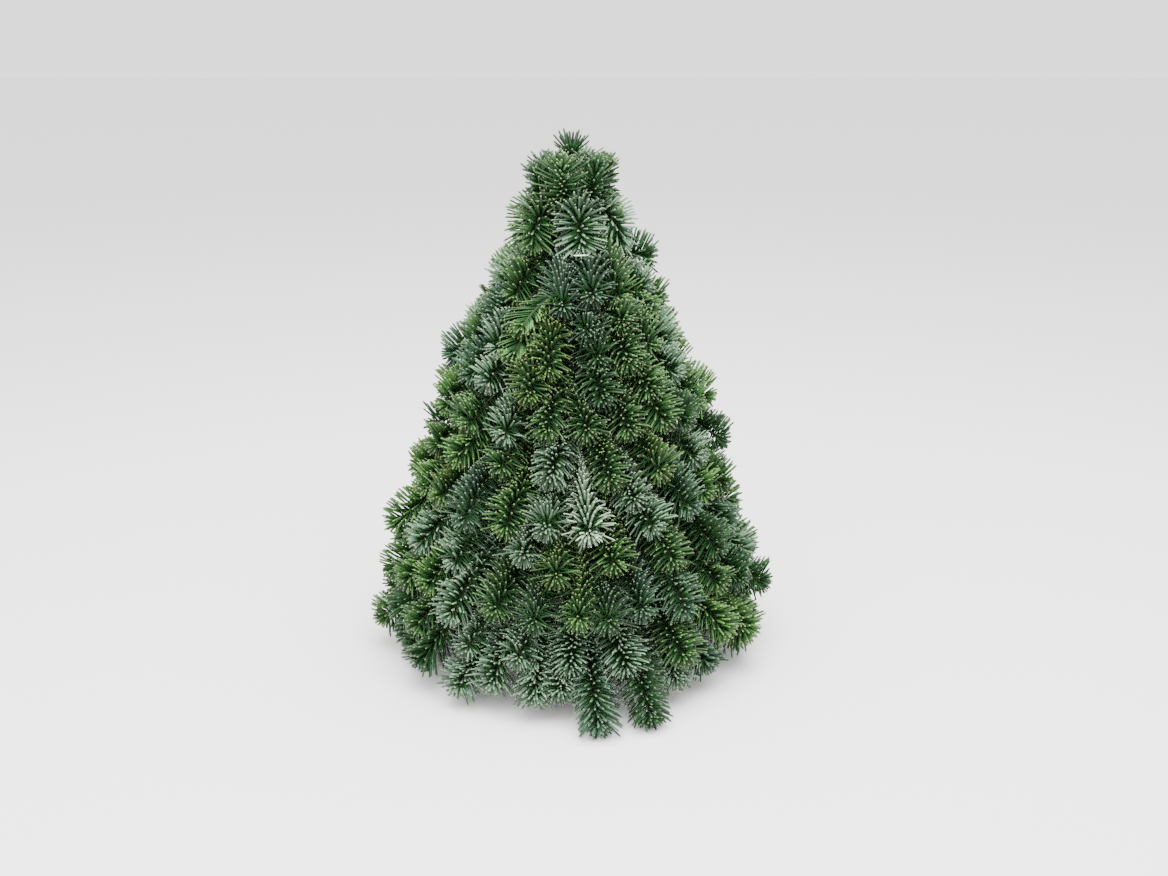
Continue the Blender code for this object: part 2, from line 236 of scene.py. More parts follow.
@dataclass
class Growth:
    """The rule that places every spray and shoot, and deals out their tints and habits."""

    tiers: tuple[Tier, ...]
    leader_rings: tuple[LeaderRing, ...]
    strays: tuple[Stray, ...]
    patches: tuple[Patch, ...]
    crown: tuple[tuple[float, float], ...]
    core: Core
    seed: int = 11
    needle_reach: float = 0.018
    stem_radius: float = 0.0034
    stem_overrun: float = 0.004
    stagger: float = 0.008
    tip_jitter: float = 0.006
    spray_jitter: float = 0.10
    shoot_jitter: float = 0.06
    bow_out: float = 0.50
    bow_down: float = 0.12
    bow_jitter: float = 0.006
    cone_margin: float = 0.004
    trunk_margin: float = 0.006
    leader_stem: float = 0.022
    leader_top: float = 0.4860
    leader_jitter: float = 0.04
    patch_span: float = 0.034
    common_tints: tuple[Tint, ...] = (
        3 * (Tint.GREEN,) + 2 * (Tint.GLAUCOUS,) + (Tint.BLUE,) + 2 * (Tint.DARK,) + (Tint.FRESH, Tint.OLIVE)
    )
    common_habits: tuple[Habit, ...] = (Habit.BRUSH, Habit.BRUSH, Habit.STAR)

    def half_width(self, height: float) -> float:
        """The crown's half-width at a height, on straight runs between its stated ones."""
        for (low, first), (high, second) in zip(self.crown, self.crown[1:]):
            if height <= high:
                return first + (second - first) * max(0.0, height - low) / (high - low)
        return self.crown[-1][1]

    def stem_point(self, bearing: float, height: float) -> Vector:
        """A point on a stem that lies along the core at that bearing."""
        core = self.core
        slope = math.atan2(core.cone_foot_radius - core.cone_top_radius, core.cone_top - core.cone_base)
        radius = core.radius(height) + (self.stem_radius + core.clearance) / math.cos(slope)
        return at_bearing(bearing, radius, height)

    def core_end(self, tier: Tier) -> float:
        """The height above which no stem of a tier is pinned."""
        if tier.name == "neck":
            return self.core.trunk_top - self.trunk_margin
        return self.core.cone_top - self.cone_margin

    def arched(
        self, spray: str, root: Vector, bearing: float, reach: float, height: float, rng: random.Random
    ) -> Shoot:
        """A shoot that leaves its stem sideways, then droops in an arch.

        Args:
            spray: The spray that it belongs to.
            root: Where it leaves the stem.
            bearing: The bearing of its tip.
            reach: The distance of its tip from the trunk's axis.
            height: The height of its tip.
            rng: The source of its irregular bow.

        Returns:
            The shoot, with no tint dealt yet.
        """
        start = math.hypot(root.x, root.y)
        bow_height = root.z + (height - root.z) * self.bow_down
        bow = at_bearing(bearing, start + (reach - start) * self.bow_out, bow_height)
        bow += Vector((rng.uniform(-1, 1), rng.uniform(-1, 1), rng.uniform(-1, 1))) * self.bow_jitter
        return Shoot(spray, root, bow, at_bearing(bearing, reach, height))

    def spray(self, tier: Tier, number: int, rng: random.Random) -> Spray:
        """One cut spray of a tier.

        Args:
            tier: The tier that it stands in.
            number: Its place round the tree, from 0.
            rng: The source of its irregularity.

        Returns:
            The spray with its shoots, row by row.
        """
        name = f"spray_{tier.name}_{number + 1:02d}"
        step = 360.0 / tier.sprays
        middle = tier.first_bearing + step * (number + self.spray_jitter * rng.uniform(-1, 1))
        shoots = []
        for row in tier.rows:
            for place in range(row.tips):
                side = (place - (row.tips - 1) / 2) / max(row.tips, 2)
                bearing = middle + step * (side + self.shoot_jitter * rng.uniform(-1, 1))
                height = row.tip_height + self.tip_jitter * rng.uniform(-1, 1)
                reach = self.half_width(height) - self.needle_reach + self.tip_jitter * rng.uniform(-1, 1)
                highest = self.core_end(tier) - self.stagger * (row.tips - place)
                root = self.stem_point(middle, min(height + row.rise + self.stagger * place, highest))
                shoots.append(self.arched(name, root, bearing, reach, height, rng))
        roots = [shoot.root.z for shoot in shoots]
        low, high = min(roots) - self.stem_overrun, max(roots) + self.stem_overrun
        return Spray(name, (self.stem_point(middle, low), self.stem_point(middle, high)), shoots)

    def leader(self, rng: random.Random) -> Spray:
        """The shoots of the tree's tip: one upright on the trunk's end, and rings that bow out round it."""
        foot = Vector((0, 0, self.core.trunk_top + self.core.clearance))
        head = foot + Vector((0, 0, self.leader_stem))
        shoots = [Shoot(LEADER, foot, head, Vector((0, 0, self.leader_top)))]
        for ring in self.leader_rings:
            root = Vector((0, 0, ring.root_height))
            for number in range(ring.shoots):
                turn = number + self.leader_jitter * rng.uniform(-1, 1)
                bearing = ring.first_bearing + 360.0 * turn / ring.shoots
                height = ring.tip_height + self.tip_jitter * rng.uniform(-1, 1)
                bow = at_bearing(bearing, ring.bow_reach, ring.bow_height)
                shoots.append(Shoot(LEADER, root, bow, at_bearing(bearing, ring.tip_reach, height)))
        return Spray(LEADER, (foot, head), shoots)

    def move_nearest(
        self, sprays: list[Spray], stray: Stray, moved: set[tuple[str, int]], rng: random.Random
    ) -> None:
        """Moves the tip of the nearest shoot that hasn't strayed yet to where the stray one stands.

        Args:
            sprays: All the sprays but the leader.
            stray: The stray shoot's tip.
            moved: The spray and place of each shoot moved so far, which this adds to.
            rng: The source of its irregular bow.
        """
        bearing, reach, height = stray.bearing, stray.reach, stray.tip_height
        tip = at_bearing(bearing, reach, height)
        places = [(spray, number) for spray in sprays for number in range(len(spray.shoots))]
        left = [place for place in places if (place[0].name, place[1]) not in moved]
        spray, number = min(left, key=lambda place: (place[0].shoots[place[1]].tip - tip).length)
        root = spray.shoots[number].root
        spray.shoots[number] = self.arched(spray.name, root, bearing, reach, height, rng)
        moved.add((spray.name, number))

    def deal_tints(self, sprays: list[Spray]) -> None:
        """Gives each shoot the tint and habit of the patch it stands in, or seeded ones elsewhere."""
        rng = random.Random(f"{self.seed} tints")
        marks = []
        for patch in self.patches:
            reach = self.half_width(patch.height)
            marks.append((patch, at_bearing(patch.bearing, reach, patch.height)))
        for spray in sprays:
            for shoot in spray.shoots:
                chosen = (rng.choice(self.common_tints), rng.choice(self.common_habits))
                patch, mark = min(marks, key=lambda entry: (entry[1] - shoot.tip).length)
                near = (mark - shoot.tip).length < self.patch_span
                shoot.tint, shoot.habit = (patch.tint, patch.habit) if near else chosen

    def sprays(self) -> list[Spray]:
        """Every spray of the tree, tier by tier, with the leader last."""
        rng = random.Random(self.seed)
        grown = [self.spray(tier, number, rng) for tier in self.tiers for number in range(tier.sprays)]
        moved: set[tuple[str, int]] = set()
        for stray in self.strays:
            self.move_nearest(grown, stray, moved, rng)
        grown.append(self.leader(rng))
        self.deal_tints(grown)
        return grown


TIERS = (
    Tier("skirt", 10, 9.0, (Row(0.030, 3, 0.050), Row(0.060, 2, 0.050))),
    Tier("low", 9, 28.0, (Row(0.100, 3, 0.048), Row(0.140, 2, 0.048))),
    Tier("middle", 8, 6.0, (Row(0.180, 3, 0.046), Row(0.219, 2, 0.046))),
    Tier("high", 7, 26.0, (Row(0.256, 3, 0.044), Row(0.291, 2, 0.044))),
    Tier("shoulder", 6, -6.0, (Row(0.318, 3, 0.042), Row(0.345, 2, 0.032))),
    Tier("neck", 4, 6.0, (Row(0.370, 3, 0.040),)),
)
LEADER_RINGS = (
    LeaderRing(6, -17.0, 0.4345, 0.030, 0.441, 0.031, 0.474),
    LeaderRing(6, 13.0, 0.4330, 0.042, 0.447, 0.046, 0.408),
)
CROWN = (
    (0.000, 0.186),
    (0.085, 0.190),
    (0.170, 0.162),
    (0.250, 0.137),
    (0.310, 0.114),
    (0.360, 0.086),
    (0.410, 0.064),
    (0.450, 0.054),
    (0.500, 0.040),
)
STRAYS = (
    Stray("front left, lying out on the ground", 7, 0.015, 0.196),
    Stray("front right, lying out on the ground", 21, 0.015, 0.194),
    Stray("left foot", -83, 0.036, 0.185),
    Stray("left, second row", -85, 0.082, 0.175),
    Stray("left, third row", -90, 0.127, 0.171),
    Stray("left waist", -86, 0.188, 0.144),
    Stray("left shoulder", -89, 0.300, 0.108),
    Stray("right foot", 67, 0.044, 0.180),
    Stray("right, the longest", 85, 0.070, 0.184),
    Stray("right waist", 91, 0.214, 0.140),
    Stray("right shoulder", 90, 0.258, 0.124),
    Stray("right, under the head", 94, 0.350, 0.076),
    Stray("right of the neck", 92, 0.392, 0.064),
    Stray("front, the palest", 6, 0.176, 0.146),
    Stray("front left of the palest", -16, 0.155, 0.148),
    Stray("front right, upper of a pair", 24, 0.200, 0.136),
    Stray("front right, lower of a pair", 30, 0.174, 0.142),
    Stray("the fork's longer arm", -29, 0.345, 0.084),
    Stray("the fork's shorter arm", -6, 0.362, 0.070),
    Stray("hanging down the neck", 15, 0.372, 0.072),
)
PATCHES = (
    Patch(7, 0.015, Tint.BLUE, Habit.STAR),
    Patch(21, 0.015, Tint.DARK, Habit.STAR),
    Patch(0, 0.045, Tint.GLAUCOUS),
    Patch(-17, 0.022, Tint.GLAUCOUS),
    Patch(-32, 0.036, Tint.GLAUCOUS),
    Patch(-50, 0.022, Tint.DARK),
    Patch(-70, 0.030, Tint.DARK, Habit.STAR),
    Patch(30, 0.024, Tint.GLAUCOUS),
    Patch(17, 0.066, Tint.GLAUCOUS),
    Patch(45, 0.040, Tint.BLUE),
    Patch(60, 0.050, Tint.FRESH, Habit.STAR),
    Patch(85, 0.070, Tint.DARK),
    Patch(-20, 0.075, Tint.GLAUCOUS),
    Patch(-40, 0.080, Tint.GLAUCOUS),
    Patch(-2, 0.090, Tint.FRESH),
    Patch(14, 0.105, Tint.DARK),
    Patch(30, 0.110, Tint.BLUE),
    Patch(48, 0.105, Tint.GREEN),
    Patch(-60, 0.090, Tint.GREEN, Habit.STAR),
    Patch(-85, 0.082, Tint.GREEN, Habit.STAR),
    Patch(-3, 0.138, Tint.OLIVE),
    Patch(-22, 0.142, Tint.GLAUCOUS),
    Patch(-45, 0.135, Tint.GLAUCOUS),
    Patch(16, 0.142, Tint.FRESH, Habit.STAR),
    Patch(38, 0.140, Tint.GREEN, Habit.STAR),
    Patch(62, 0.140, Tint.DARK),
    Patch(6, 0.176, Tint.FROSTED),
    Patch(27, 0.185, Tint.GLAUCOUS),
    Patch(48, 0.190, Tint.BLUE),
    Patch(-38, 0.185, Tint.BLUE),
    Patch(-84, 0.185, Tint.OLIVE),
    Patch(4, 0.238, Tint.OLIVE, Habit.STAR),
    Patch(14, 0.205, Tint.DARK),
    Patch(-15, 0.215, Tint.GLAUCOUS, Habit.STAR),
    Patch(22, 0.226, Tint.GREEN, Habit.STAR),
    Patch(48, 0.235, Tint.GLAUCOUS),
    Patch(-32, 0.258, Tint.GLAUCOUS),
    Patch(0, 0.255, Tint.GREEN, Habit.STAR),
    Patch(30, 0.270, Tint.GREEN, Habit.STAR),
    Patch(88, 0.256, Tint.FRESH),
    Patch(-82, 0.290, Tint.BLUE),
    Patch(-22, 0.295, Tint.OLIVE, Habit.STAR),
    Patch(8, 0.300, Tint.DARK, Habit.STAR),
    Patch(33, 0.305, Tint.GREEN, Habit.STAR),
    Patch(58, 0.310, Tint.GLAUCOUS),
    Patch(-50, 0.325, Tint.GLAUCOUS),
    Patch(-22, 0.348, Tint.FRESH, Habit.COMB),
    Patch(13, 0.360, Tint.BLUE),
    Patch(45, 0.350, Tint.GREEN),
    Patch(-60, 0.385, Tint.GREEN),
    Patch(-15, 0.400, Tint.GREEN),
    Patch(13, 0.408, Tint.GLAUCOUS),
    Patch(-47, 0.408, Tint.GREEN),
    Patch(50, 0.395, Tint.GREEN),
    Patch(-17, 0.474, Tint.GREEN),
    Patch(-77, 0.474, Tint.DARK),
    Patch(43, 0.474, Tint.DARK),
    Patch(103, 0.474, Tint.GREEN),
)


# Finishes


def linear(colour: str, alpha: float = 1.0) -> tuple[float, float, float, float]:
    """An sRGB hex colour, such as #8A9B7C, as linear red, green, blue and alpha."""
    values = [int(colour[place : place + 2], 16) / 255 for place in (1, 3, 5)]
    red, green, blue = (v / 12.92 if v <= 0.04045 else ((v + 0.055) / 1.055) ** 2.4 for v in values)
    return (red, green, blue, alpha)


def lighter(colour: str, factor: float) -> str:
    """An sRGB hex colour made lighter or darker by a factor."""
    values = [round(int(colour[place : place + 2], 16) * factor) for place in (1, 3, 5)]
    return "#" + "".join(f"{min(255, max(0, value)):02X}" for value in values)


def blank_material(
    name: str, values: dict[str, object]
) -> tuple[bpy.types.Material, bpy.types.ShaderNodeBsdfPrincipled]:
    """A new material with its Principled shader.

    Args:
        name: The material's name.
        values: For each named input of the shader, its value.

    Returns:
        The material and the shader.
    """
    material = bpy.data.materials.new(name)
    material.use_nodes = True
    surface = material.node_tree.nodes["Principled BSDF"]
    for entry, value in values.items():
        surface.inputs[entry].default_value = value
    return material, surface


def add_node(
    material: bpy.types.Material,
    kind: str,
    settings: dict[str, object] | None = None,
    inputs: dict[str, object] | None = None,
    outputs: Iterable[tuple[str, bpy.types.NodeSocket]] = (),
    stops: Sequence[tuple[float, str]] = (),
) -> bpy.types.Node:
    """Adds a node to a material.

    Args:
        material: The material whose tree gets it.
        kind: The node's type name.
        settings: Values of the node's own properties.
        inputs: For each input's name or place, a value, or the socket that feeds it.
        outputs: Pairs of an output's name and the socket that it feeds.
        stops: Pairs of a place and a colour, where the node is a ramp.

    Returns:
        The node.
    """
    tree = material.node_tree
    node = tree.nodes.new(kind)
    for name, value in (settings or {}).items():
        setattr(node, name, value)
    for name, value in (inputs or {}).items():
        if isinstance(value, bpy.types.NodeSocket):
            tree.links.new(value, node.inputs[name])
        else:
            node.inputs[name].default_value = value
    for name, socket in outputs:
        tree.links.new(node.outputs[name], socket)
    for number, (place, colour) in enumerate(stops):
        node.color_ramp.elements[number].position = place
        node.color_ramp.elements[number].color = linear(colour)
    return node


def mottle(
    material: bpy.types.Material,
    surface: bpy.types.ShaderNodeBsdfPrincipled,
    size: float,
    roughness: tuple[float, float],
    detail: float = 2.0,
) -> bpy.types.NodeSocket:
    """Makes a material's roughness uneven.

    Args:
        material: The material.
        surface: Its Principled shader.
        size: How large the uneven places are.
        roughness: The lowest and the highest roughness.
        detail: How many finer patterns lie over the first.

    Returns:
        The socket of the pattern.
    """
    place = add_node(material, "ShaderNodeTexCoord")
    pattern = add_node(
        material,
        "ShaderNodeTexNoise",
        inputs={"Vector": place.outputs["Object"], "Scale": 1 / size, "Detail": detail},
    )
    add_node(
        material,
        "ShaderNodeMapRange",
        inputs={"Value": pattern.outputs["Fac"], "To Min": roughness[0], "To Max": roughness[1]},
        outputs=[("Result", surface.inputs["Roughness"])],
    )
    return pattern.outputs["Fac"]


@dataclass(frozen=True)
class NeedleFinish:
    """Fir needles of one tint: a waxy leaf, so satin, with a pale blunt tip. Its darkest face colour is also
    painted shade on the needles' flat inner sides.

    Their bloom of wax is too fine to show, so the pattern of their roughness is as coarse as it needs to be.
    """

    tint: Tint
    face: str
    tip: str
    roughness: float
    shades: tuple[float, ...] = (0.72, 1.0, 1.26)
    bloom: float = 6 * MM
    unevenness: float = 0.10
    specular: float = 0.35
    ior: float = 1.45

    def one(self, part: str, colour: str) -> bpy.types.Material:
        """A needle material in one plain colour, its wax uneven along a few millimetres."""
        values = {"Base Color": linear(colour), "Specular IOR Level": self.specular, "IOR": self.ior}
        material, surface = blank_material(f"needle_{self.tint.value}_{part}", values)
        rough = (self.roughness - self.unevenness, self.roughness + self.unevenness)
        mottle(material, surface, self.bloom, rough, detail=1.0)
        return material

    def made(self) -> list[bpy.types.Material]:
        """The materials of this tint: one for each shade of face from dark to light, then the tip."""
        faces = []
        for number, factor in enumerate(self.shades):
            faces.append(self.one(f"face_{number}", lighter(self.face, factor)))
        return [*faces, self.one("tip", self.tip)]


NEEDLE_FINISHES = (
    NeedleFinish(Tint.FROSTED, "#96B192", "#B8C3AF", 0.55),
    NeedleFinish(Tint.GLAUCOUS, "#59765C", "#83957B", 0.55),
    NeedleFinish(Tint.BLUE, "#38543E", "#677C64", 0.52),
    NeedleFinish(Tint.GREEN, "#34562B", "#6D8156", 0.50),
    NeedleFinish(Tint.FRESH, "#3F6530", "#798F5A", 0.50),
    NeedleFinish(Tint.DARK, "#254326", "#5B6F52", 0.50),
    NeedleFinish(Tint.OLIVE, "#3B5A29", "#6D7E4A", 0.50),
)
# Painted shade: the half of every needle next to its twig gets this dark green, standing in for the shade
# deep among the needles.
NEEDLE_ROOT_SHADE = NeedleFinish(Tint.DARK, "#265125", "#265125", 0.62)


@dataclass(frozen=True)
class BarkFinish:
    """Fir bark: matt and corky, in browns that vary along the stem, with fine lengthwise cracks."""

    name: str = "fir_bark"
    light: str = "#6E5640"
    dark: str = "#3B2C20"
    roughness: float = 0.85
    crack_width: float = 2.5 * MM
    stretch: float = 0.25
    relief: float = 0.3 * MM

    def made(self) -> bpy.types.Material:
        """The bark material."""
        material, surface = blank_material(self.name, {"Roughness": self.roughness})
        place = add_node(material, "ShaderNodeTexCoord")
        along = add_node(
            material,
            "ShaderNodeMapping",
            inputs={"Vector": place.outputs["Object"], "Scale": (1.0, 1.0, self.stretch)},
        )
        pattern = {"Scale": 1 / self.crack_width, "Detail": 4.0, "Roughness": 0.65}
        inputs = {"Vector": along.outputs["Vector"], **pattern}
        cracks = add_node(material, "ShaderNodeTexNoise", inputs=inputs)
        add_node(
            material,
            "ShaderNodeValToRGB",
            inputs={"Fac": cracks.outputs["Fac"]},
            outputs=[("Color", surface.inputs["Base Color"])],
            stops=[(0.38, self.dark), (0.62, self.light)],
        )
        add_node(
            material,
            "ShaderNodeBump",
            inputs={"Height": cracks.outputs["Fac"], "Distance": self.relief, "Strength": 0.8},
            outputs=[("Normal", surface.inputs["Normal"])],
        )
        return material


@dataclass(frozen=True)
class TwigFinish:
    """A young fir twig or a resinous bud: one plain colour, matt, its down shown by its roughness."""

    name: str
    colour: str
    roughness: float
    down: float = 1.5 * MM
    smoother: float = 0.12
    rougher: float = 0.10

    def made(self) -> bpy.types.Material:
        """The twig material."""
        material, surface = blank_material(self.name, {"Base Color": linear(self.colour)})
        mottle(material, surface, self.down, (self.roughness - self.smoother, self.roughness + self.rougher))
        return material


YOUNG_TWIG = TwigFinish("young_twig", "#2C3319", 0.75)
CUT_STEM = TwigFinish("cut_stem", "#2F2A1C", 0.85)
RESINOUS_BUD = TwigFinish("resinous_bud", "#7A6549", 0.45)


@dataclass(frozen=True)
class FoamFinish:
    """Wet floral foam: phenolic foam, matt, darker in its open cells. Its near-black green is painted shade,
    so that the foam seen between the sprays reads as the shade deep inside the foliage.
    """

    name: str = "wet_floral_foam"
    # Painted shade: both greens are near-black, standing in for the shade inside the foliage.
    light: str = "#1B3018"
    dark: str = "#0C160B"
    cell: float = 1.6 * MM
    relief: float = 0.4 * MM

    def made(self) -> bpy.types.Material:
        """The foam material."""
        material, surface = blank_material(self.name, {"Roughness": 0.95, "Specular IOR Level": 0.2})
        place = add_node(material, "ShaderNodeTexCoord")
        cells = add_node(
            material,
            "ShaderNodeTexVoronoi",
            inputs={"Vector": place.outputs["Object"], "Scale": 1 / self.cell},
        )
        add_node(
            material,
            "ShaderNodeValToRGB",
            inputs={"Fac": cells.outputs["Distance"]},
            outputs=[("Color", surface.inputs["Base Color"])],
            stops=[(0.0, self.dark), (0.6, self.light)],
        )
        add_node(
            material,
            "ShaderNodeBump",
            inputs={"Height": cells.outputs["Distance"], "Distance": self.relief, "Strength": 1.0},
            outputs=[("Normal", surface.inputs["Normal"])],
        )
        return material


@dataclass(frozen=True)
class WoodFinish:
    """Pine, sliced across the log: dull, with late-wood rings and end grain. Its dark olive-brown is painted
    shade, so that the stand seen between the lowest sprays reads as the shade under them.
    """

    name: str = "weathered_pine"
    # Painted shade: the dark olive-brown stands in for the shade under the lowest sprays.
    early: str = "#4A4434"
    late: str = "#342F24"
    ring_spacing: float = 3.2 * MM
    pith: Triple = (0.012, -0.009, 0.0)
    roughness: tuple[float, float] = (0.42, 0.66)
    grain: float = 0.8 * MM
    relief: float = 0.1 * MM

    def made(self) -> bpy.types.Material:
        """The wood material."""
        material, surface = blank_material(self.name, {})
        place = add_node(material, "ShaderNodeTexCoord")
        centred = add_node(
            material,
            "ShaderNodeMapping",
            inputs={"Vector": place.outputs["Object"], "Location": self.pith},
        )
        waves = {"Distortion": 2.0, "Detail": 2.0, "Detail Scale": 3.0}
        rings = add_node(
            material,
            "ShaderNodeTexWave",
            settings={"wave_type": "RINGS", "rings_direction": "Z", "wave_profile": "SAW"},
            inputs={"Vector": centred.outputs["Vector"], "Scale": WAVE_LENGTH / self.ring_spacing, **waves},
        )
        add_node(
            material,
            "ShaderNodeValToRGB",
            inputs={"Fac": rings.outputs["Fac"]},
            outputs=[("Color", surface.inputs["Base Color"])],
            stops=[(0.25, self.early), (1.0, self.late)],
        )
        add_node(
            material,
            "ShaderNodeBump",
            inputs={
                "Height": mottle(material, surface, self.grain, self.roughness, detail=3.0),
                "Distance": self.relief,
                "Strength": 0.5,
            },
            outputs=[("Normal", surface.inputs["Normal"])],
        )
        return material


@dataclass(frozen=True)
class WireFinish:
    """Galvanised steel wire: a dull pale zinc skin, slightly blotched."""

    name: str = "galvanised_wire"
    colour: str = "#C9CBC6"
    metallic: float = 0.85
    roughness: tuple[float, float] = (0.30, 0.50)
    blotch: float = 2 * MM

    def made(self) -> bpy.types.Material:
        """The wire material."""
        values = {"Base Color": linear(self.colour), "Metallic": self.metallic}
        material, surface = blank_material(self.name, values)
        mottle(material, surface, self.blotch, self.roughness)
        return material


@dataclass(frozen=True)
class FloorFinish:
    """White photographer's card: matt."""

    name: str = "white_card"
    colour: str = "#F7F7F6"
    roughness: float = 0.9
    specular: float = 0.1

    def made(self) -> bpy.types.Material:
        """The floor material."""
        values = {"Roughness": self.roughness, "Specular IOR Level": self.specular}
        return blank_material(self.name, {"Base Color": linear(self.colour), **values})[0]


# Meshes from arrays, for the small things that are repeated thousands of times


@dataclass
class Batch:
    """Points and triangles of many small shapes, with the material slot of each triangle."""

    points: list[np.ndarray] = field(default_factory=list)
    triangles: list[np.ndarray] = field(default_factory=list)
    slots: list[np.ndarray] = field(default_factory=list)
    count: int = 0

    def add(self, points: np.ndarray, triangles: np.ndarray, slots: np.ndarray) -> None:
        """Adds copies of a shape.

        Args:
            points: One copy's points a row: copies, points, 3.
            triangles: The shape's triangles, or one set a copy.
            slots: The slot of each triangle of each copy: copies, triangles.
        """
        copies, each = points.shape[0], points.shape[1]
        first = self.count + each * np.arange(copies)[:, None, None]
        self.points.append(points.reshape(-1, 3))
        self.triangles.append((triangles[None] + first).reshape(-1, 3))
        self.slots.append(np.broadcast_to(slots, (copies, triangles.shape[0])).reshape(-1))
        self.count += copies * each

    def triangle_count(self) -> int:
        """The triangles so far."""
        return sum(len(triangles) for triangles in self.triangles)

    def made(self, name: str, materials: Sequence[bpy.types.Material]) -> bpy.types.Object:
        """The batch as one smooth-shaded object, with only the materials that it uses.

        Args:
            name: The object's name.
            materials: The materials that the slots count.

        Returns:
            The object, linked to the scene.
        """
        points, triangles = np.concatenate(self.points), np.concatenate(self.triangles)
        used, compact = np.unique(np.concatenate(self.slots), return_inverse=True)
        mesh = bpy.data.meshes.new(name)
        mesh.vertices.add(len(points))
        mesh.vertices.foreach_set("co", points.astype(np.float32).ravel())
        mesh.loops.add(3 * len(triangles))
        mesh.loops.foreach_set("vertex_index", triangles.astype(np.int32).ravel())
        mesh.polygons.add(len(triangles))
        mesh.polygons.foreach_set("loop_start", np.arange(0, 3 * len(triangles), 3, dtype=np.int32))
        for slot in used:
            mesh.materials.append(materials[slot])
        mesh.polygons.foreach_set("material_index", compact.astype(np.int32).ravel())
        mesh.polygons.foreach_set("use_smooth", np.ones(len(triangles), dtype=bool))
        mesh.update(calc_edges=True)
        made = bpy.data.objects.new(name, mesh)
        bpy.context.scene.collection.objects.link(made)
        return made


def tube_triangles(rings: int, sides: int) -> np.ndarray:
    """Triangles of a closed tube whose points run ring by ring, then one point at each end.

    Args:
        rings: Rings of points along it.
        sides: Points in a ring.

    Returns:
        The triangles, with outward faces where rings turn right-handed about the way that the tube runs.
    """
    side = np.arange(sides)
    after = (side + 1) % sides
    found = []
    for ring in range(rings - 1):
        here, there = ring * sides, (ring + 1) * sides
        found.append(np.stack([here + side, here + after, there + after], axis=1))
        found.append(np.stack([here + side, there + after, there + side], axis=1))
    foot, end = rings * sides, rings * sides + 1
    last = (rings - 1) * sides
    found.append(np.stack([np.full(sides, foot), after, side], axis=1))
    found.append(np.stack([last + side, last + after, np.full(sides, end)], axis=1))
    return np.concatenate(found)


def tube_points(
    line: np.ndarray, radii: np.ndarray, sides: int, spread: Callable[[int], np.ndarray] | None = None
) -> np.ndarray:
    """Points of a tube about a line, as tube_triangles counts them.

    Args:
        line: The points that it follows, one a row.
        radii: Its radius at each.
        sides: Points in a ring.
        spread: For a ring's number, a factor on the radius of each of its points.

    Returns:
        The points, one a row.
    """
    ahead = unit(np.gradient(line, axis=0))
    across = np.cross(ahead[len(ahead) // 2], TUBE_START)
    turns = 2 * np.pi * np.arange(sides) / sides
    found = []
    for number, (centre, heading, radius) in enumerate(zip(line, ahead, radii)):
        first = unit(across - heading * (across @ heading))
        second = np.cross(heading, first)
        reach = radius * (spread(number) if spread else np.ones(sides))
        ring = np.outer(np.cos(turns), first) + np.outer(np.sin(turns), second)
        found.append(centre + ring * reach[:, None])
    return np.concatenate([*found, line[:1], line[-1:]])


# Foliage


@dataclass(frozen=True)
class Stance:
    """How needles stand on a shoot: angles in degrees from square to the twig towards its tip.

    lift is how far they curve up to the sky, wrap how far those under the twig come round its sides, crowd
    how far they all gather on its upper side, and density the share of the needles that it has.
    """

    lean: float
    bend: float
    lift: float
    wrap: float
    crowd: float
    density: float
    length: float


STANCES = {
    Habit.BRUSH: Stance(lean=18.0, bend=-2.0, lift=2.0, wrap=0.15, crowd=1.22, density=1.0, length=25 * MM),
    Habit.STAR: Stance(lean=20.0, bend=4.0, lift=1.0, wrap=0.15, crowd=1.20, density=1.0, length=24 * MM),
    Habit.COMB: Stance(lean=30.0, bend=16.0, lift=0.0, wrap=0.05, crowd=1.0, density=0.45, length=23 * MM),
}


@dataclass
class Needles:
    """The needles of one shoot, with an entry for each in every array, and angles in radians.

    shares are their places along the shoot's line, turns their angles round the twig from its upper side,
    leans their lean at the root, bends how much further they have bent at their tips, and lifts how far they
    curve up to the sky.
    """

    shares: np.ndarray
    turns: np.ndarray
    leans: np.ndarray
    bends: np.ndarray
    lifts: np.ndarray
    lengths: np.ndarray

    def joined(self, others: "Needles") -> "Needles":
        """These needles with others after them."""
        pairs = zip(vars(self).values(), vars(others).values())
        return Needles(*(np.append(own, other) for own, other in pairs))


@dataclass(frozen=True)
class Scatter:
    """How unevenly needles stand, as a standard deviation or as two limits.

    Leans and bends are in degrees, turns in radians, and the others are shares. Those named for a shoot are
    drawn once for all its needles, and those named for a star are for the needles round its bud.
    """

    shoot_lean: float = 5.0
    shoot_bend: float = 7.0
    shoot_size: float = 0.05
    shoot_lift: tuple[float, float] = (0.55, 1.2)
    place: float = 0.3
    turn: float = 0.06
    comb_turn: float = 0.16
    lean: float = 2.5
    bend: float = 3.0
    length: float = 0.04
    star_turn: float = 0.1
    star_bend: tuple[float, float] = (-10.0, 6.0)
    star_length: float = 0.05
    shades: tuple[float, ...] = (0.30, 0.46, 0.24)


@dataclass(frozen=True)
class Fitting:
    """How needles without room are swept forward and shortened, pass by pass, and long ones cut back.

    sweep and furthest_lean are in radians. least_cut is the smallest factor of one cut, and side_power makes
    the cut sharper for needles that reach out past the crown.
    """

    passes: int = 4
    sweep: float = 0.25
    furthest_lean: float = 1.2
    shortening: float = 0.88
    least_cut: float = 0.8
    side_power: int = 8
    least_ahead: float = 0.1 * MM
    end_slack: float = 1.0 * MM
    side_slack: float = 0.5 * MM


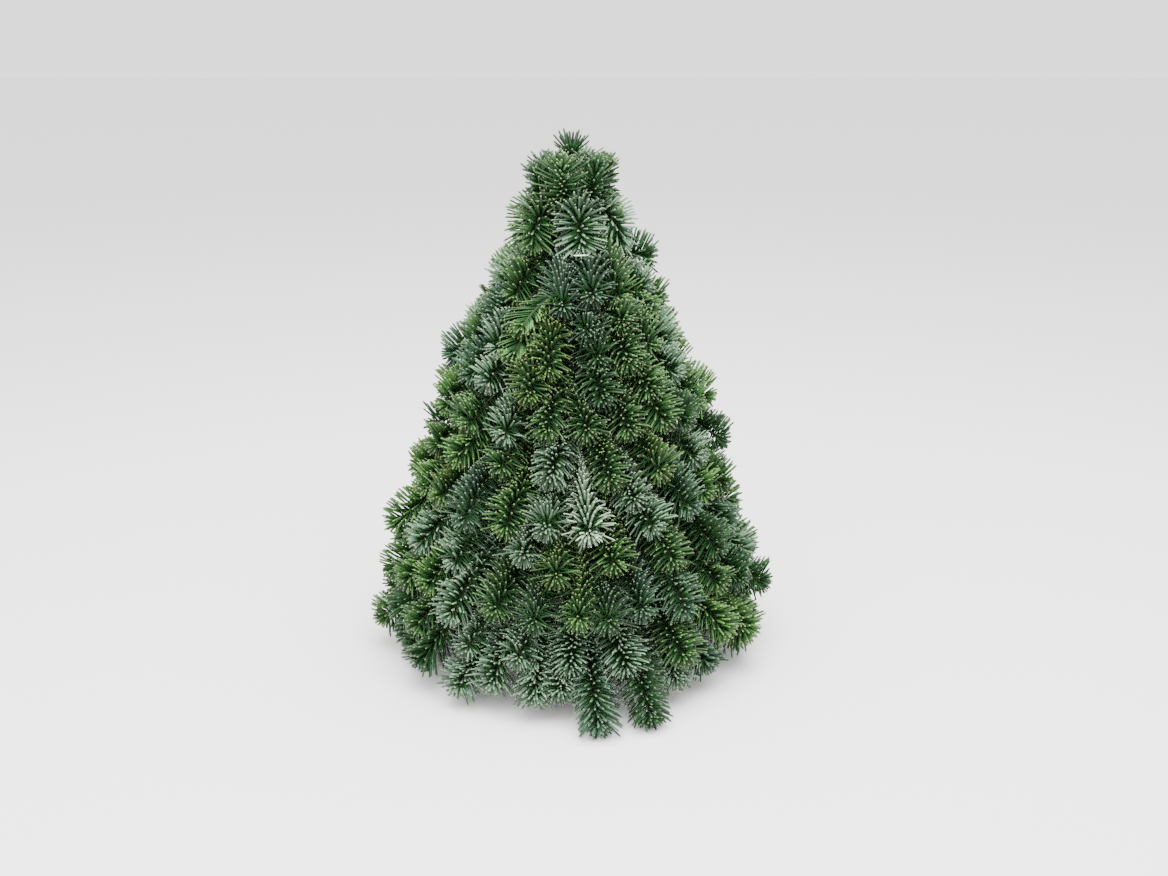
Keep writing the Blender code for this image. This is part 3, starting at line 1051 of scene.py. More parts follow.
@dataclass
class Foliage:
    """The needles, twigs and buds of every spray.

    Low shoots are those that lie near the ground, and the shoots on top are the head's. star_ names the
    needles that spread from a shoot's end round its bud, and tip_ how needles change near a shoot's end.
    Gaps without a unit are shares of a shoot's line.
    """

    growth: Growth
    scatter: Scatter = Scatter()
    fitting: Fitting = Fitting()
    needles_per_metre: float = 2400.0
    bare_share: float = 0.04
    end_gap: float = 0.015
    width: float = 2.3 * MM
    thickness: float = 1.6 * MM
    needle_stations: tuple[float, ...] = (0.0, 0.48, 0.93)
    needle_widths: tuple[float, ...] = (0.65, 1.0, 0.86)
    root_offset: float = 0.6 * MM
    turn_share: float = 0.92
    comb_share: float = 0.44
    tip_share: float = 0.30
    tip_lean: float = 18.0
    tip_bend: float = 10.0
    tip_lift_loss: float = 0.4
    upper_slant: float = 0.7
    root_lift: float = 0.7
    even_lift: float = 0.6
    upper_lift: float = 0.4
    star_needles: int = 30
    star_length: float = 14.0 * MM
    star_gap: float = 0.01
    star_lean: float = 0.45
    star_sweep: float = 0.54
    star_lift: float = 0.15
    end_reach: float = 13.0 * MM
    outer_reach: float = 18.0 * MM
    top_height: float = 0.460
    top_star_length: float = 23.0 * MM
    top_lift: float = 0.06
    dome_fall: float = 0.26
    low_height: float = 0.060
    low_density: float = 1.25
    low_crowd: float = 0.88
    low_lift: float = 0.40
    interleave: float = 10.0 * MM
    tuck: float = 1.0 * MM
    overlap_height: float = 20.0 * MM
    core_gap: float = 1.5 * MM
    ground: float = 0.8 * MM
    neighbourhood: float = 0.090
    neighbourhood_share: float = 0.6
    straight_pieces: int = 3
    measured_points: int = 9
    most_triangles: int = 185_000
    expected_needles: int = 300
    twig_reach: float = 4.5 * MM
    twig_root_radius: float = 1.5 * MM
    twig_tip_radius: float = 0.9 * MM
    twig_rings: int = 10
    twig_knobs: tuple[float, float] = (0.82, 1.16)
    stem_rings: int = 8
    stem_knobs: tuple[float, float] = (0.88, 1.05)
    stem_fit: float = 0.9
    tube_sides: int = 6
    bud_length: float = 6.5 * MM
    bud_radius: float = 2.1 * MM
    bud_stations: tuple[float, ...] = (0.0, 0.25, 0.55, 0.82)
    bud_outline: tuple[float, ...] = (0.55, 0.95, 1.0, 0.62)
    bud_lengths: tuple[float, float] = (0.9, 1.1)
    bud_sizes_and_tilts: tuple[tuple[float, float], ...] = ((1.0, 0.0), (0.7, 0.75), (0.65, -0.8))

    def __post_init__(self) -> None:
        """Grows the sprays and notes the straight pieces that share out the room."""
        self.sprays = self.growth.sprays()
        self.shoots = [shoot for spray in self.sprays for shoot in spray.shoots]
        count, starts, ends = self.straight_pieces, [], []
        for shoot in self.shoots:
            points = shoot.line(np.linspace(0.0, self.end_share(shoot), count + 1))
            starts.append(points[:-1])
            ends.append(points[1:])
        self.starts, self.ends = np.concatenate(starts), np.concatenate(ends)
        self.owners = np.repeat(np.arange(len(self.shoots)), count)
        self.root_heights = np.repeat([shoot.root.z for shoot in self.shoots], count)

    def end_share(self, shoot: Shoot) -> float:
        """The share of a shoot's line where its twig ends, past the line's own end but for the leader's."""
        if shoot.spray == LEADER:
            return 1.0
        return 1.0 + self.twig_reach / (2 * (shoot.tip - shoot.bow).length)

    def is_low(self, shoot: Shoot) -> bool:
        """Whether a shoot lies near the ground."""
        return shoot.tip.z < self.low_height

    def lift(self, shoot: Shoot) -> float:
        """How far a shoot's needles curve up to the sky."""
        factor = self.low_lift if self.is_low(shoot) else self.top_lift if shoot.spray == LEADER else 1.0
        return STANCES[shoot.habit].lift * factor

    def star_size(self, shoot: Shoot) -> float:
        """The length of the needles at a shoot's end, which falls outwards on top and so domes the head."""
        if shoot.tip.z > self.top_height:
            return self.top_star_length - self.dome_fall * math.hypot(shoot.tip.x, shoot.tip.y)
        return self.star_length

    def distance(self, points: np.ndarray, pick: np.ndarray) -> np.ndarray:
        """The distance from each point to the nearest of the picked straight pieces.

        Args:
            points: One a row.
            pick: Which of the straight pieces count.

        Returns:
            A distance for each point.
        """
        if not pick.any():
            return np.full(len(points), np.inf)
        start, run = self.starts[pick], self.ends[pick] - self.starts[pick]
        offset = points[:, None] - start[None]
        share = np.clip((offset * run).sum(-1) / np.maximum((run * run).sum(-1), LEAST), 0.0, 1.0)
        return np.linalg.norm(offset - share[..., None] * run, axis=-1).min(axis=1)

    def has_room(self, points: np.ndarray, number: int) -> np.ndarray:
        """Whether points of a shoot's needles are clear of the core and the ground, and in its own room.

        A shoot interleaves with those beside it, lies over those rooted lower, and tucks in under those
        rooted higher.

        Args:
            points: One a row.
            number: The shoot's number.

        Returns:
            True or False for each point.
        """
        shoot = self.shoots[number]
        own = self.owners == number
        middle = np.array(shoot.along(self.neighbourhood_share))
        near = np.linalg.norm((self.starts + self.ends) / 2 - middle, axis=1) < self.neighbourhood
        above = self.root_heights - shoot.root.z
        reach = self.distance(points, own)
        beside = near & ~own & (np.abs(above) <= self.overlap_height)
        over = near & (above > self.overlap_height)
        gap = self.distance(points, beside) - reach > -self.interleave
        gap &= self.distance(points, over) - reach > -self.tuck
        core = np.array([self.growth.core.radius(height) for height in points[:, 2]])
        clear = np.hypot(points[:, 0], points[:, 1]) > core + self.core_gap
        return gap & clear & (points[:, 2] > self.ground)

    def curves(self, shoot: Shoot, needles: Needles) -> tuple[np.ndarray, ...]:
        """The lines that a shoot's needles follow.

        Args:
            shoot: The shoot.
            needles: Its needles.

        Returns:
            The root, the control point, the tip, and the tangent across each needle.
        """
        stance, turns = STANCES[shoot.habit], needles.turns
        line, ahead = shoot.line(needles.shares), shoot.headings(needles.shares)
        outward = np.array([shoot.tip.x, shoot.tip.y, 0.0])
        outward = unit(outward) if np.linalg.norm(outward) > NEARLY_NONE else FRONT
        upper = self.upper_slant * (outward + UP)
        upper = unit(upper - ahead * (ahead @ upper)[:, None])
        across = np.cross(ahead, upper)
        radial = upper * np.cos(turns)[:, None] + across * np.sin(turns)[:, None]
        sky = np.outer(needles.lifts * (self.even_lift + self.upper_lift * np.cos(turns)), UP)
        leans, final = needles.leans, needles.leans + needles.bends
        first = radial * np.cos(leans)[:, None] + ahead * np.sin(leans)[:, None] + self.root_lift * sky
        second = radial * np.cos(final)[:, None] + ahead * np.sin(final)[:, None]
        second += upper * (stance.wrap * (1 - np.cos(turns)) / 2)[:, None]
        half = (needles.lengths * 0.5)[:, None]
        root = line + radial * self.root_offset
        middle = root + unit(first) * half
        tip = middle + unit(second + sky) * half
        return root, middle, tip, unit(np.cross(radial, ahead))

    def needle_points(
        self, root: np.ndarray, middle: np.ndarray, tip: np.ndarray, tangent: np.ndarray
    ) -> np.ndarray:
        """Points of needles: three-sided rings along each curve, then the middle of its root and its tip.

        Args:
            root: Where each needle starts.
            middle: The control point of its curve.
            tip: Where it ends.
            tangent: The direction across it.

        Returns:
            The points: needles, points, 3.
        """
        rings = []
        for station, width in zip(self.needle_stations, self.needle_widths):
            centre = (1 - station) ** 2 * root + 2 * station * (1 - station) * middle + station**2 * tip
            heading = unit((1 - station) * (middle - root) + station * (tip - middle))
            ridge = np.cross(heading, tangent)
            half = tangent * (self.width * width / 2)
            rings += [centre + half, centre - half, centre + ridge * self.thickness * width]
        return np.stack([*rings, root, tip], axis=1)

    def along_shoot(self, shoot: Shoot, rng: np.random.Generator) -> Needles:
        """The needles set in a spiral along a shoot's twig, or in two flat rows where its habit is a comb.

        Args:
            shoot: The shoot.
            rng: The source of their irregularity.

        Returns:
            The needles.
        """
        stance, scatter = STANCES[shoot.habit], self.scatter
        density, crowd = stance.density, stance.crowd
        if self.is_low(shoot):
            density, crowd = density * self.low_density, crowd * self.low_crowd
        end_share = self.end_share(shoot)
        steps = np.diff(shoot.line(np.linspace(0, end_share, self.measured_points)), axis=0)
        length = np.linalg.norm(steps, axis=1).sum()
        rows = int(length * (1 - self.bare_share) * self.needles_per_metre * density)
        span = end_share - self.end_gap - self.bare_share
        shares = self.bare_share + span * (np.arange(rows) + scatter.place * rng.random(rows)) / rows
        turns = GOLDEN_ANGLE * np.arange(rows) + rng.normal(0, scatter.turn, rows)
        turns = np.angle(np.exp(1j * turns))
        turns = self.turn_share * np.pi * np.sign(turns) * (np.abs(turns) / np.pi) ** crowd
        if shoot.habit is Habit.COMB:
            turns = np.sign(turns) * (np.pi * self.comb_share + rng.normal(0, scatter.comb_turn, rows))
        near_tip = np.clip((shares - end_share + self.tip_share) / self.tip_share, 0, 1)
        lean = stance.lean + rng.normal(0, scatter.shoot_lean)
        bend = stance.bend + rng.normal(0, scatter.shoot_bend)
        size = rng.normal(1.0, scatter.shoot_size)
        leans = np.radians(lean + rng.normal(0, scatter.lean, rows) + self.tip_lean * near_tip)
        bends = np.radians(bend + rng.normal(0, scatter.bend, rows) + self.tip_bend * near_tip)
        lifts = self.lift(shoot) * rng.uniform(*scatter.shoot_lift) * (1 - self.tip_lift_loss * near_tip)
        lengths = stance.length * size * rng.normal(1.0, scatter.length, rows)
        return Needles(shares, turns, leans, bends, lifts, lengths)

    def round_bud(self, shoot: Shoot, rng: np.random.Generator) -> Needles:
        """The needles that spread like a star from a shoot's end, round its bud.

        Args:
            shoot: The shoot.
            rng: The source of their irregularity.

        Returns:
            The needles, from those that stand out sideways to those that point ahead.
        """
        count, scatter = self.star_needles, self.scatter
        shares = np.full(count, self.end_share(shoot) - self.star_gap)
        turns = GOLDEN_ANGLE * np.arange(count) + rng.normal(0, scatter.star_turn, count)
        forward = (np.arange(count) + 0.5) / count
        leans = np.arcsin(self.star_lean + self.star_sweep * forward)
        bends = np.radians(rng.uniform(*scatter.star_bend, count))
        lifts = np.full(count, self.star_lift * self.lift(shoot))
        lengths = self.star_size(shoot) * rng.normal(1.0, scatter.star_length, count)
        return Needles(shares, turns, leans, bends, lifts, lengths)

    def grow_needles(self, number: int, rng: np.random.Generator) -> tuple[np.ndarray, np.ndarray]:
        """The needles of one shoot.

        Args:
            number: The shoot's number.
            rng: The source of their irregularity.

        Returns:
            The needles' points, and a shade for each from 0 to the number of shades less one.
        """
        shoot, fitting = self.shoots[number], self.fitting
        needles = self.along_shoot(shoot, rng).joined(self.round_bud(shoot, rng))
        shades = rng.choice(len(self.scatter.shades), len(needles.shares), p=self.scatter.shades)
        last = np.array([self.end_share(shoot)])
        end, toward = shoot.line(last)[0], shoot.headings(last)[0]
        end_reach = self.star_size(shoot) if shoot.tip.z > self.top_height else self.end_reach
        widest = math.hypot(shoot.tip.x, shoot.tip.y) + self.outer_reach
        for _ in range(fitting.passes):
            root, middle, tip, tangent = self.curves(shoot, needles)
            ahead = np.maximum((tip - end) @ toward, fitting.least_ahead)
            needles.lengths *= np.clip(end_reach / ahead, fitting.least_cut, 1.0)
            sideways = np.clip(widest / np.hypot(tip[:, 0], tip[:, 1]), fitting.least_cut, 1.0)
            needles.lengths *= sideways**fitting.side_power
            room = self.has_room(tip, number) & (middle[:, 2] > self.ground)
            swept = np.minimum(needles.leans + fitting.sweep, fitting.furthest_lean)
            needles.leans = np.where(room, needles.leans, swept)
            needles.lengths = np.where(room, needles.lengths, needles.lengths * fitting.shortening)
        root, middle, tip, tangent = self.curves(shoot, needles)
        room = self.has_room(tip, number) & (middle[:, 2] > self.ground)
        room &= (tip - end) @ toward < end_reach + fitting.end_slack
        room &= np.hypot(tip[:, 0], tip[:, 1]) < widest + fitting.side_slack
        points = self.needle_points(root, middle, tip, tangent)[room]
        points[..., 2] = np.maximum(points[..., 2], self.ground / 2)
        return points, shades[room]

    def build_needles(self, materials: Sequence[bpy.types.Material], each: int) -> list[bpy.types.Object]:
        """The needles of every spray, a few sprays of a tier to a piece.

        Args:
            materials: The material of the needles' root halves, a dark green that is painted shade, then
                those of every tint, one tint after another.
            each: The materials of one tint.

        Returns:
            The pieces.
        """
        triangles = tube_triangles(len(self.needle_stations), NEEDLE_SIDES)
        order = list(Tint)
        pieces, number = [], 0
        batch, nodes, tier, part = Batch(), [], "", 1
        for spray in self.sprays:
            own_tier = spray.name.split("_")[1]
            expected = self.expected_needles * len(triangles) * len(spray.shoots)
            full = batch.triangle_count() + expected > self.most_triangles
            if batch.count and (own_tier != tier or full):
                pieces.append(self.piece(f"needles_{tier}_{part}", batch, materials, nodes))
                part = part + 1 if own_tier == tier else 1
                batch, nodes = Batch(), []
            tier = own_tier
            nodes.append(spray.name)
            for shoot in spray.shoots:
                rng = np.random.default_rng(self.growth.seed * SEEDS_APART + number)
                points, shades = self.grow_needles(number, rng)
                first = 1 + order.index(shoot.tint) * each
                slots = np.repeat((first + shades)[:, None], len(triangles), axis=1)
                # Painted shade: each needle's flat inner side takes its tint's darkest face colour, as if
                # turned away from the light.
                slots[:, self.underside_triangles()] = first
                # Painted shade: the root half of each needle takes the one dark green root colour.
                slots[:, : 2 * NEEDLE_SIDES] = 0
                slots[:, -NEEDLE_SIDES:] = first + each - 1
                batch.add(points, triangles, slots)
                number += 1
        pieces.append(self.piece(f"needles_{tier}_{part}", batch, materials, nodes))
        return pieces

    def underside_triangles(self) -> list[int]:
        """The places of the triangles on a needle's flat side, between a ring's first two points."""
        found = []
        for ring in range(len(self.needle_stations) - 1):
            found += [ring * 2 * NEEDLE_SIDES, (ring * 2 + 1) * NEEDLE_SIDES]
        return found

    def piece(
        self, name: str, batch: Batch, materials: Sequence[bpy.types.Material], nodes: Sequence[str]
    ) -> bpy.types.Object:
        """A piece of needles that stands for some sprays' solids.

        Args:
            name: The piece's name.
            batch: Its needles.
            materials: The materials that its slots count.
            nodes: The names of the sprays' nodes.

        Returns:
            The piece.
        """
        made = batch.made(name, materials)
        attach(made, "root")
        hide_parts(*nodes)
        LOG.info("%s: %d triangles for %d sprays", name, batch.triangle_count(), len(nodes))
        return made

    def build_twigs(self, materials: Sequence[bpy.types.Material]) -> bpy.types.Object:
        """The shoots' twigs and the sprays' bare stems, as knobbly tubes in one piece."""
        batch = Batch()
        rng = np.random.default_rng(self.growth.seed)
        for shoot in self.shoots:
            end_share = self.end_share(shoot)
            shares = np.linspace(0.0, end_share - self.end_gap, self.twig_rings)
            taper = self.twig_tip_radius - self.twig_root_radius
            radii = self.twig_root_radius + taper * shares / end_share
            self.add_tube(batch, shoot.line(shares), radii, 0, self.twig_knobs, rng)
        for spray in self.sprays:
            low, high = (np.array(end) for end in spray.stem)
            line = low + (high - low) * np.linspace(0, 1, self.stem_rings)[:, None]
            radii = np.full(self.stem_rings, self.growth.stem_radius * self.stem_fit)
            self.add_tube(batch, line, radii, 1, self.stem_knobs, rng)
        made = batch.made("twigs", materials)
        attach(made, "root")
        LOG.info("twigs: %d triangles", batch.triangle_count())
        return made

    def add_tube(
        self,
        batch: Batch,
        line: np.ndarray,
        radii: np.ndarray,
        slot: int,
        knobs: tuple[float, float],
        rng: np.random.Generator,
    ) -> None:
        """Adds a knobbly tube to a batch.

        Args:
            batch: The batch.
            line: The points that the tube follows, one a row.
            radii: Its radius at each.
            slot: The slot of its material.
            knobs: The least and the greatest factor on its radius.
            rng: The source of its irregularity.
        """
        sides = self.tube_sides
        points = tube_points(line, radii, sides, lambda _: rng.uniform(*knobs, sides))
        batch.add(points[None], tube_triangles(len(line), sides), np.full((1, 1), slot))

    def build_buds(self, materials: Sequence[bpy.types.Material]) -> bpy.types.Object:
        """The buds: a fat one at each shoot's end with two small ones beside it."""
        batch = Batch()
        rng = np.random.default_rng(self.growth.seed + 1)
        sides, stations, outline = self.tube_sides, np.array(self.bud_stations), np.array(self.bud_outline)
        for shoot in self.shoots:
            end_share = self.end_share(shoot)
            ahead = shoot.headings(np.array([end_share]))[0]
            across = unit(np.cross(ahead, BUD_START))
            for size, tilt in self.bud_sizes_and_tilts:
                heading = unit(ahead * math.cos(tilt) + across * math.sin(tilt))
                length = self.bud_length * size * rng.uniform(*self.bud_lengths)
                foot = np.array(shoot.along(end_share - self.end_gap))
                line = foot + heading * (stations * length)[:, None]
                points = tube_points(line, outline * self.bud_radius * size, sides)
                points[-1] = line[0] + heading * length
                batch.add(points[None], tube_triangles(len(stations), sides), np.zeros((1, 1), dtype=int))
        made = batch.made("buds", materials)
        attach(made, "root")
        LOG.info("buds: %d triangles", batch.triangle_count())
        return made


# The core, modelled by hand


def deselect_all() -> None:
    """Leaves object mode's selection empty."""
    if bpy.context.mode != "OBJECT":
        bpy.ops.object.mode_set(mode="OBJECT")
    bpy.ops.object.select_all(action="DESELECT")


def select_only(
    piece: bpy.types.Object,
    kind: str,
    wanted: Callable[[bpy.types.MeshPolygon | bpy.types.MeshEdge], bool],
) -> None:
    """Selects a mesh's faces or edges by a test, and leaves it in edit mode.

    Args:
        piece: The piece, which is active.
        kind: FACE or EDGE.
        wanted: The test.
    """
    bpy.ops.object.mode_set(mode="EDIT")
    bpy.ops.mesh.select_mode(type=kind)
    bpy.ops.mesh.select_all(action="DESELECT")
    bpy.ops.object.mode_set(mode="OBJECT")
    for element in piece.data.polygons if kind == "FACE" else piece.data.edges:
        element.select = wanted(element)
    bpy.ops.object.mode_set(mode="EDIT")


def select_edges(piece: bpy.types.Object, wanted: Callable[[Vector, Vector], bool]) -> None:
    """Selects a mesh's edges by a test of their two ends, and leaves it in edit mode."""
    select_only(piece, "EDGE", lambda edge: wanted(*(piece.data.vertices[end].co for end in edge.vertices)))


def add_cone(sides: int, radii: tuple[float, float], low: float, high: float, fill: str) -> None:
    """Adds a cone that stands on the Z axis.

    Args:
        sides: Its sides.
        radii: Its radius at its foot and at its top.
        low: The height of its foot.
        high: The height of its top.
        fill: How its ends are filled.
    """
    bpy.ops.mesh.primitive_cone_add(
        vertices=sides,
        radius1=radii[0],
        radius2=radii[1],
        depth=high - low,
        end_fill_type=fill,
        location=(0, 0, low + (high - low) / 2),
    )


def cut_into_rings(piece: bpy.types.Object, length: float, cuts: int) -> None:
    """Cuts a standing piece's long edges into short lengths, and leaves it in object mode.

    Args:
        piece: The piece, which is active.
        length: Its height.
        cuts: The cuts across it.
    """
    bpy.ops.object.transform_apply(location=True)
    select_edges(piece, lambda a, b: abs(a.z - b.z) > length / 2)
    bpy.ops.mesh.subdivide(number_cuts=cuts)
    bpy.ops.object.mode_set(mode="OBJECT")


def finish_piece(
    piece: bpy.types.Object, name: str, material: bpy.types.Material, angle: float = SMOOTH_UNDER
) -> None:
    """Names a hand-made piece, puts its place into its mesh, shades it and gives it its material.

    Args:
        piece: The piece, which is active.
        name: Its name.
        material: Its material.
        angle: The sharpest edge that is shaded smooth, in degrees.
    """
    if bpy.context.mode != "OBJECT":
        bpy.ops.object.mode_set(mode="OBJECT")
    piece.name = name
    bpy.ops.object.transform_apply(location=True, rotation=True, scale=True)
    bpy.ops.object.shade_smooth_by_angle(angle=math.radians(angle))
    piece.data.materials.clear()
    piece.data.materials.append(material)


def roughen(piece: bpy.types.Object, kind: str, size: float, strength: float) -> None:
    """Raises and lowers a piece's surface by a texture, and applies it.

    Args:
        piece: The piece, which is active.
        kind: The texture's type.
        size: The texture's size.
        strength: The height from its lowest to its highest.
    """
    texture = bpy.data.textures.new(f"{piece.name}_relief", kind)
    texture.noise_scale = size
    relief = piece.modifiers.new("relief", "DISPLACE")
    relief.texture = texture
    relief.texture_coords = "LOCAL"
    relief.strength = strength
    relief.mid_level = 1.0
    bpy.ops.object.modifier_apply(modifier=relief.name)


@dataclass
class Stand:
    """The wooden disc that the tree stands on, with an eased edge and a blind socket for the trunk."""

    radius: float = 0.082
    height: float = 0.018
    edge: float = 0.0025
    edge_steps: int = 4
    socket_radius: float = 0.0153
    socket_floor: float = 0.0057
    sides: int = 96

    def build(self, material: bpy.types.Material) -> bpy.types.Object:
        """Turns the disc: a cylinder, its rims bevelled, its socket inset and pushed down."""
        deselect_all()
        bpy.ops.mesh.primitive_cylinder_add(
            vertices=self.sides, radius=self.radius, depth=self.height, location=(0, 0, self.height / 2)
        )
        piece = bpy.context.object
        bpy.ops.object.transform_apply(location=True)
        select_edges(piece, lambda a, b: abs(a.z - b.z) < NEARLY_NONE)
        bpy.ops.mesh.bevel(offset=self.edge, segments=self.edge_steps, affect="EDGES")
        bpy.ops.object.mode_set(mode="OBJECT")
        top_area = math.pi * self.socket_radius**2
        select_only(piece, "FACE", lambda face: face.normal.z > FACES_UP and face.area > top_area)
        bpy.ops.mesh.inset(thickness=self.radius - self.edge - self.socket_radius, depth=0)
        down = (0, 0, self.socket_floor - self.height)
        bpy.ops.mesh.extrude_region_move(TRANSFORM_OT_translate={"value": down})
        finish_piece(piece, "turned_stand", material)
        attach(piece, "root")
        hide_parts("stand")
        LOG.info("turned_stand: %d faces", len(piece.data.polygons))
        return piece


@dataclass
class Trunk:
    """The fir stem that carries the tree, with the relief of its bark."""

    core: Core
    sides: int = 40
    rings: int = 70
    ridges: float = 4.0 * MM
    relief: float = 0.5 * MM

    def build(self, material: bpy.types.Material) -> bpy.types.Object:
        """Draws the stem: a tapered cylinder cut into short lengths, flared at its foot and roughened."""
        core = self.core
        deselect_all()
        radii = (core.trunk_foot_radius, core.trunk_tip_radius)
        add_cone(self.sides, radii, core.socket_floor, core.trunk_top, "NGON")
        piece = bpy.context.object
        cut_into_rings(piece, core.trunk_top - core.socket_floor, self.rings)
        for corner in piece.data.vertices:
            reach = math.hypot(corner.co.x, corner.co.y)
            factor = core.trunk_radius(corner.co.z) / reach
            corner.co.x *= factor
            corner.co.y *= factor
        roughen(piece, "STUCCI", self.ridges, self.relief)
        finish_piece(piece, "bark_trunk", material, SMOOTH_UNDER_ROUGH)
        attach(piece, "root")
        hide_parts("trunk")
        LOG.info("bark_trunk: %d faces", len(piece.data.polygons))
        return piece


@dataclass
class FoamCone:
    """The foam cone that the sprays are pinned to, bored for the trunk, its skin open-celled."""

    core: Core
    sides: int = 120
    rings: int = 100
    bore_gap: float = 0.4 * MM
    cells: float = 3.5 * MM
    pits: float = 0.8 * MM
    rim_height: float = 2 * MM
    rim_rise: float = 1.5 * MM

    def build(self, material: bpy.types.Material) -> bpy.types.Object:
        """Casts the cone: an open cone and an open bore in one mesh, bridged at both ends and pitted."""
        core = self.core
        deselect_all()
        radii = (core.cone_foot_radius, core.cone_top_radius)
        add_cone(self.sides, radii, core.cone_base, core.cone_top, "NOTHING")
        piece = bpy.context.object
        cut_into_rings(piece, core.cone_top - core.cone_base, self.rings)
        roughen(piece, "VORONOI", self.cells, self.pits)
        bpy.ops.object.mode_set(mode="EDIT")
        bpy.ops.mesh.select_all(action="DESELECT")
        ends = (core.cone_base, core.cone_top)
        bore = tuple(core.trunk_radius(end) + self.bore_gap for end in ends)
        add_cone(self.sides, bore, core.cone_base, core.cone_top, "NOTHING")
        bpy.ops.object.mode_set(mode="OBJECT")
        for end in ends:
            select_edges(piece, lambda a, b: self.on_rim(a.z, b.z, end))
            bpy.ops.mesh.bridge_edge_loops()
            bpy.ops.object.mode_set(mode="OBJECT")
        bpy.ops.object.mode_set(mode="EDIT")
        bpy.ops.mesh.select_all(action="SELECT")
        bpy.ops.mesh.normals_make_consistent(inside=False)
        finish_piece(piece, "pitted_foam", material, SMOOTH_UNDER_ROUGH)
        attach(piece, "root")
        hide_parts("foam_cone")
        LOG.info("pitted_foam: %d faces", len(piece.data.polygons))
        return piece

    def on_rim(self, first: float, second: float, end: float) -> bool:
        """Whether an edge between two heights is on the rim at an end, which the pits have moved a little."""
        near = max(abs(first - end), abs(second - end)) < self.rim_height
        return near and abs(first - second) < self.rim_rise


@dataclass
class WirePins:
    """The U-shaped wire pins that hold each spray's bare stem to the foam, and one that shows on the neck.

    neck_pin is that one's bearing, distance from the trunk's axis and height.
    """

    core: Core
    wire_radius: float = 0.8 * MM
    wire_sides: int = 8
    corner: float = 2.0 * MM
    corner_steps: int = 4
    crown: float = 15.0 * MM
    longest_leg: float = 40.0 * MM
    neck_pin: Triple = (8.0, 0.067, 0.403)

    def bent(self, leg: float) -> bpy.types.Object:
        """Bends one pin about the origin: a disc of wire drawn along a leg, round a corner, and so on.

        Args:
            leg: The length of its legs, which run down from the crown along -Z.

        Returns:
            The pin, its crown along X.
        """
        deselect_all()
        half = self.crown / 2
        bpy.ops.mesh.primitive_circle_add(
            vertices=self.wire_sides, radius=self.wire_radius, fill_type="NGON", location=(-half, 0, -leg)
        )
        pin = bpy.context.object
        bpy.ops.object.transform_apply(location=True)
        bpy.ops.object.mode_set(mode="EDIT")
        bpy.ops.mesh.select_all(action="SELECT")
        straight = leg - self.corner
        bpy.ops.mesh.extrude_region_move(TRANSFORM_OT_translate={"value": (0, 0, straight)})
        turn = {"steps": self.corner_steps, "angle": math.pi / 2, "axis": (0, 1, 0)}
        bpy.ops.mesh.spin(center=(self.corner - half, 0, -self.corner), **turn)
        over = (self.crown - 2 * self.corner, 0, 0)
        bpy.ops.mesh.extrude_region_move(TRANSFORM_OT_translate={"value": over})
        bpy.ops.mesh.spin(center=(half - self.corner, 0, -self.corner), **turn)
        bpy.ops.mesh.extrude_region_move(TRANSFORM_OT_translate={"value": (0, 0, -straight)})
        bpy.ops.mesh.select_all(action="SELECT")
        bpy.ops.mesh.remove_doubles(threshold=MERGED_UNDER)
        bpy.ops.mesh.normals_make_consistent(inside=False)
        bpy.ops.object.mode_set(mode="OBJECT")
        return pin

    def pushed_in(self, place: Vector, along: Vector, leg: float) -> bpy.types.Object:
        """A pin pushed straight in at a place, its crown across the way that the stem there runs.

        Args:
            place: The middle of its crown.
            along: The direction of the stem that it holds.
            leg: The length of its legs.

        Returns:
            The pin.
        """
        pin = self.bent(leg)
        across = Vector((-place.y, place.x, 0.0)).normalized()
        outward = across.cross(along).normalized()
        if outward.dot(Vector((place.x, place.y, 0.0))) < 0:
            outward.negate()
        turned = Matrix((across, outward.cross(across), outward)).transposed().to_4x4()
        pin.matrix_world = Matrix.Translation(place) @ turned
        return pin

    def build(
        self, sprays: Sequence[Spray], stem_radius: float, material: bpy.types.Material
    ) -> bpy.types.Object:
        """Pins every stem that lies on the foam, and pushes the one that shows into the neck.

        Args:
            sprays: The tree's sprays.
            stem_radius: The radius of their bare stems.
            material: The wire's material.

        Returns:
            The pins as one piece.
        """
        pins = [self.pushed_in(at_bearing(*self.neck_pin), Vector((0, 0, 1)), self.longest_leg)]
        for spray in sprays:
            low, high = spray.stem
            middle = (low + high) / 2
            if high.z > self.core.cone_top:
                continue
            outward = Vector((middle.x, middle.y, 0.0)).normalized()
            place = middle + outward * (stem_radius + self.wire_radius)
            depth = self.core.cone_radius(middle.z) - self.core.trunk_radius(middle.z)
            pins.append(self.pushed_in(place, high - low, min(self.longest_leg, depth + stem_radius)))
        deselect_all()
        for pin in pins:
            pin.select_set(True)
        bpy.context.view_layer.objects.active = pins[0]
        bpy.ops.object.join()
        piece = bpy.context.object
        finish_piece(piece, "wire_pins", material, SMOOTH_UNDER_ROUGH)
        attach(piece, "root")
        LOG.info("wire_pins: %d pins", len(pins))
        return piece


# The studio


@dataclass(frozen=True)
class Softbox:
    """A square studio light, aimed at the tree."""

    name: str
    place: Triple
    size: float
    watts: float
    aim: Triple = (0.0, 0.0, 0.2)

    def build(self) -> None:
        """Hangs the light and turns it to what it is aimed at."""
        lamp = bpy.data.lights.new(self.name, "AREA")
        lamp.shape = "SQUARE"
        lamp.size = self.size
        lamp.energy = self.watts
        held = bpy.data.objects.new(self.name, lamp)
        held.location = self.place
        held.rotation_euler = (Vector(self.aim) - Vector(self.place)).to_track_quat("-Z", "Y").to_euler()
        bpy.context.scene.collection.objects.link(held)


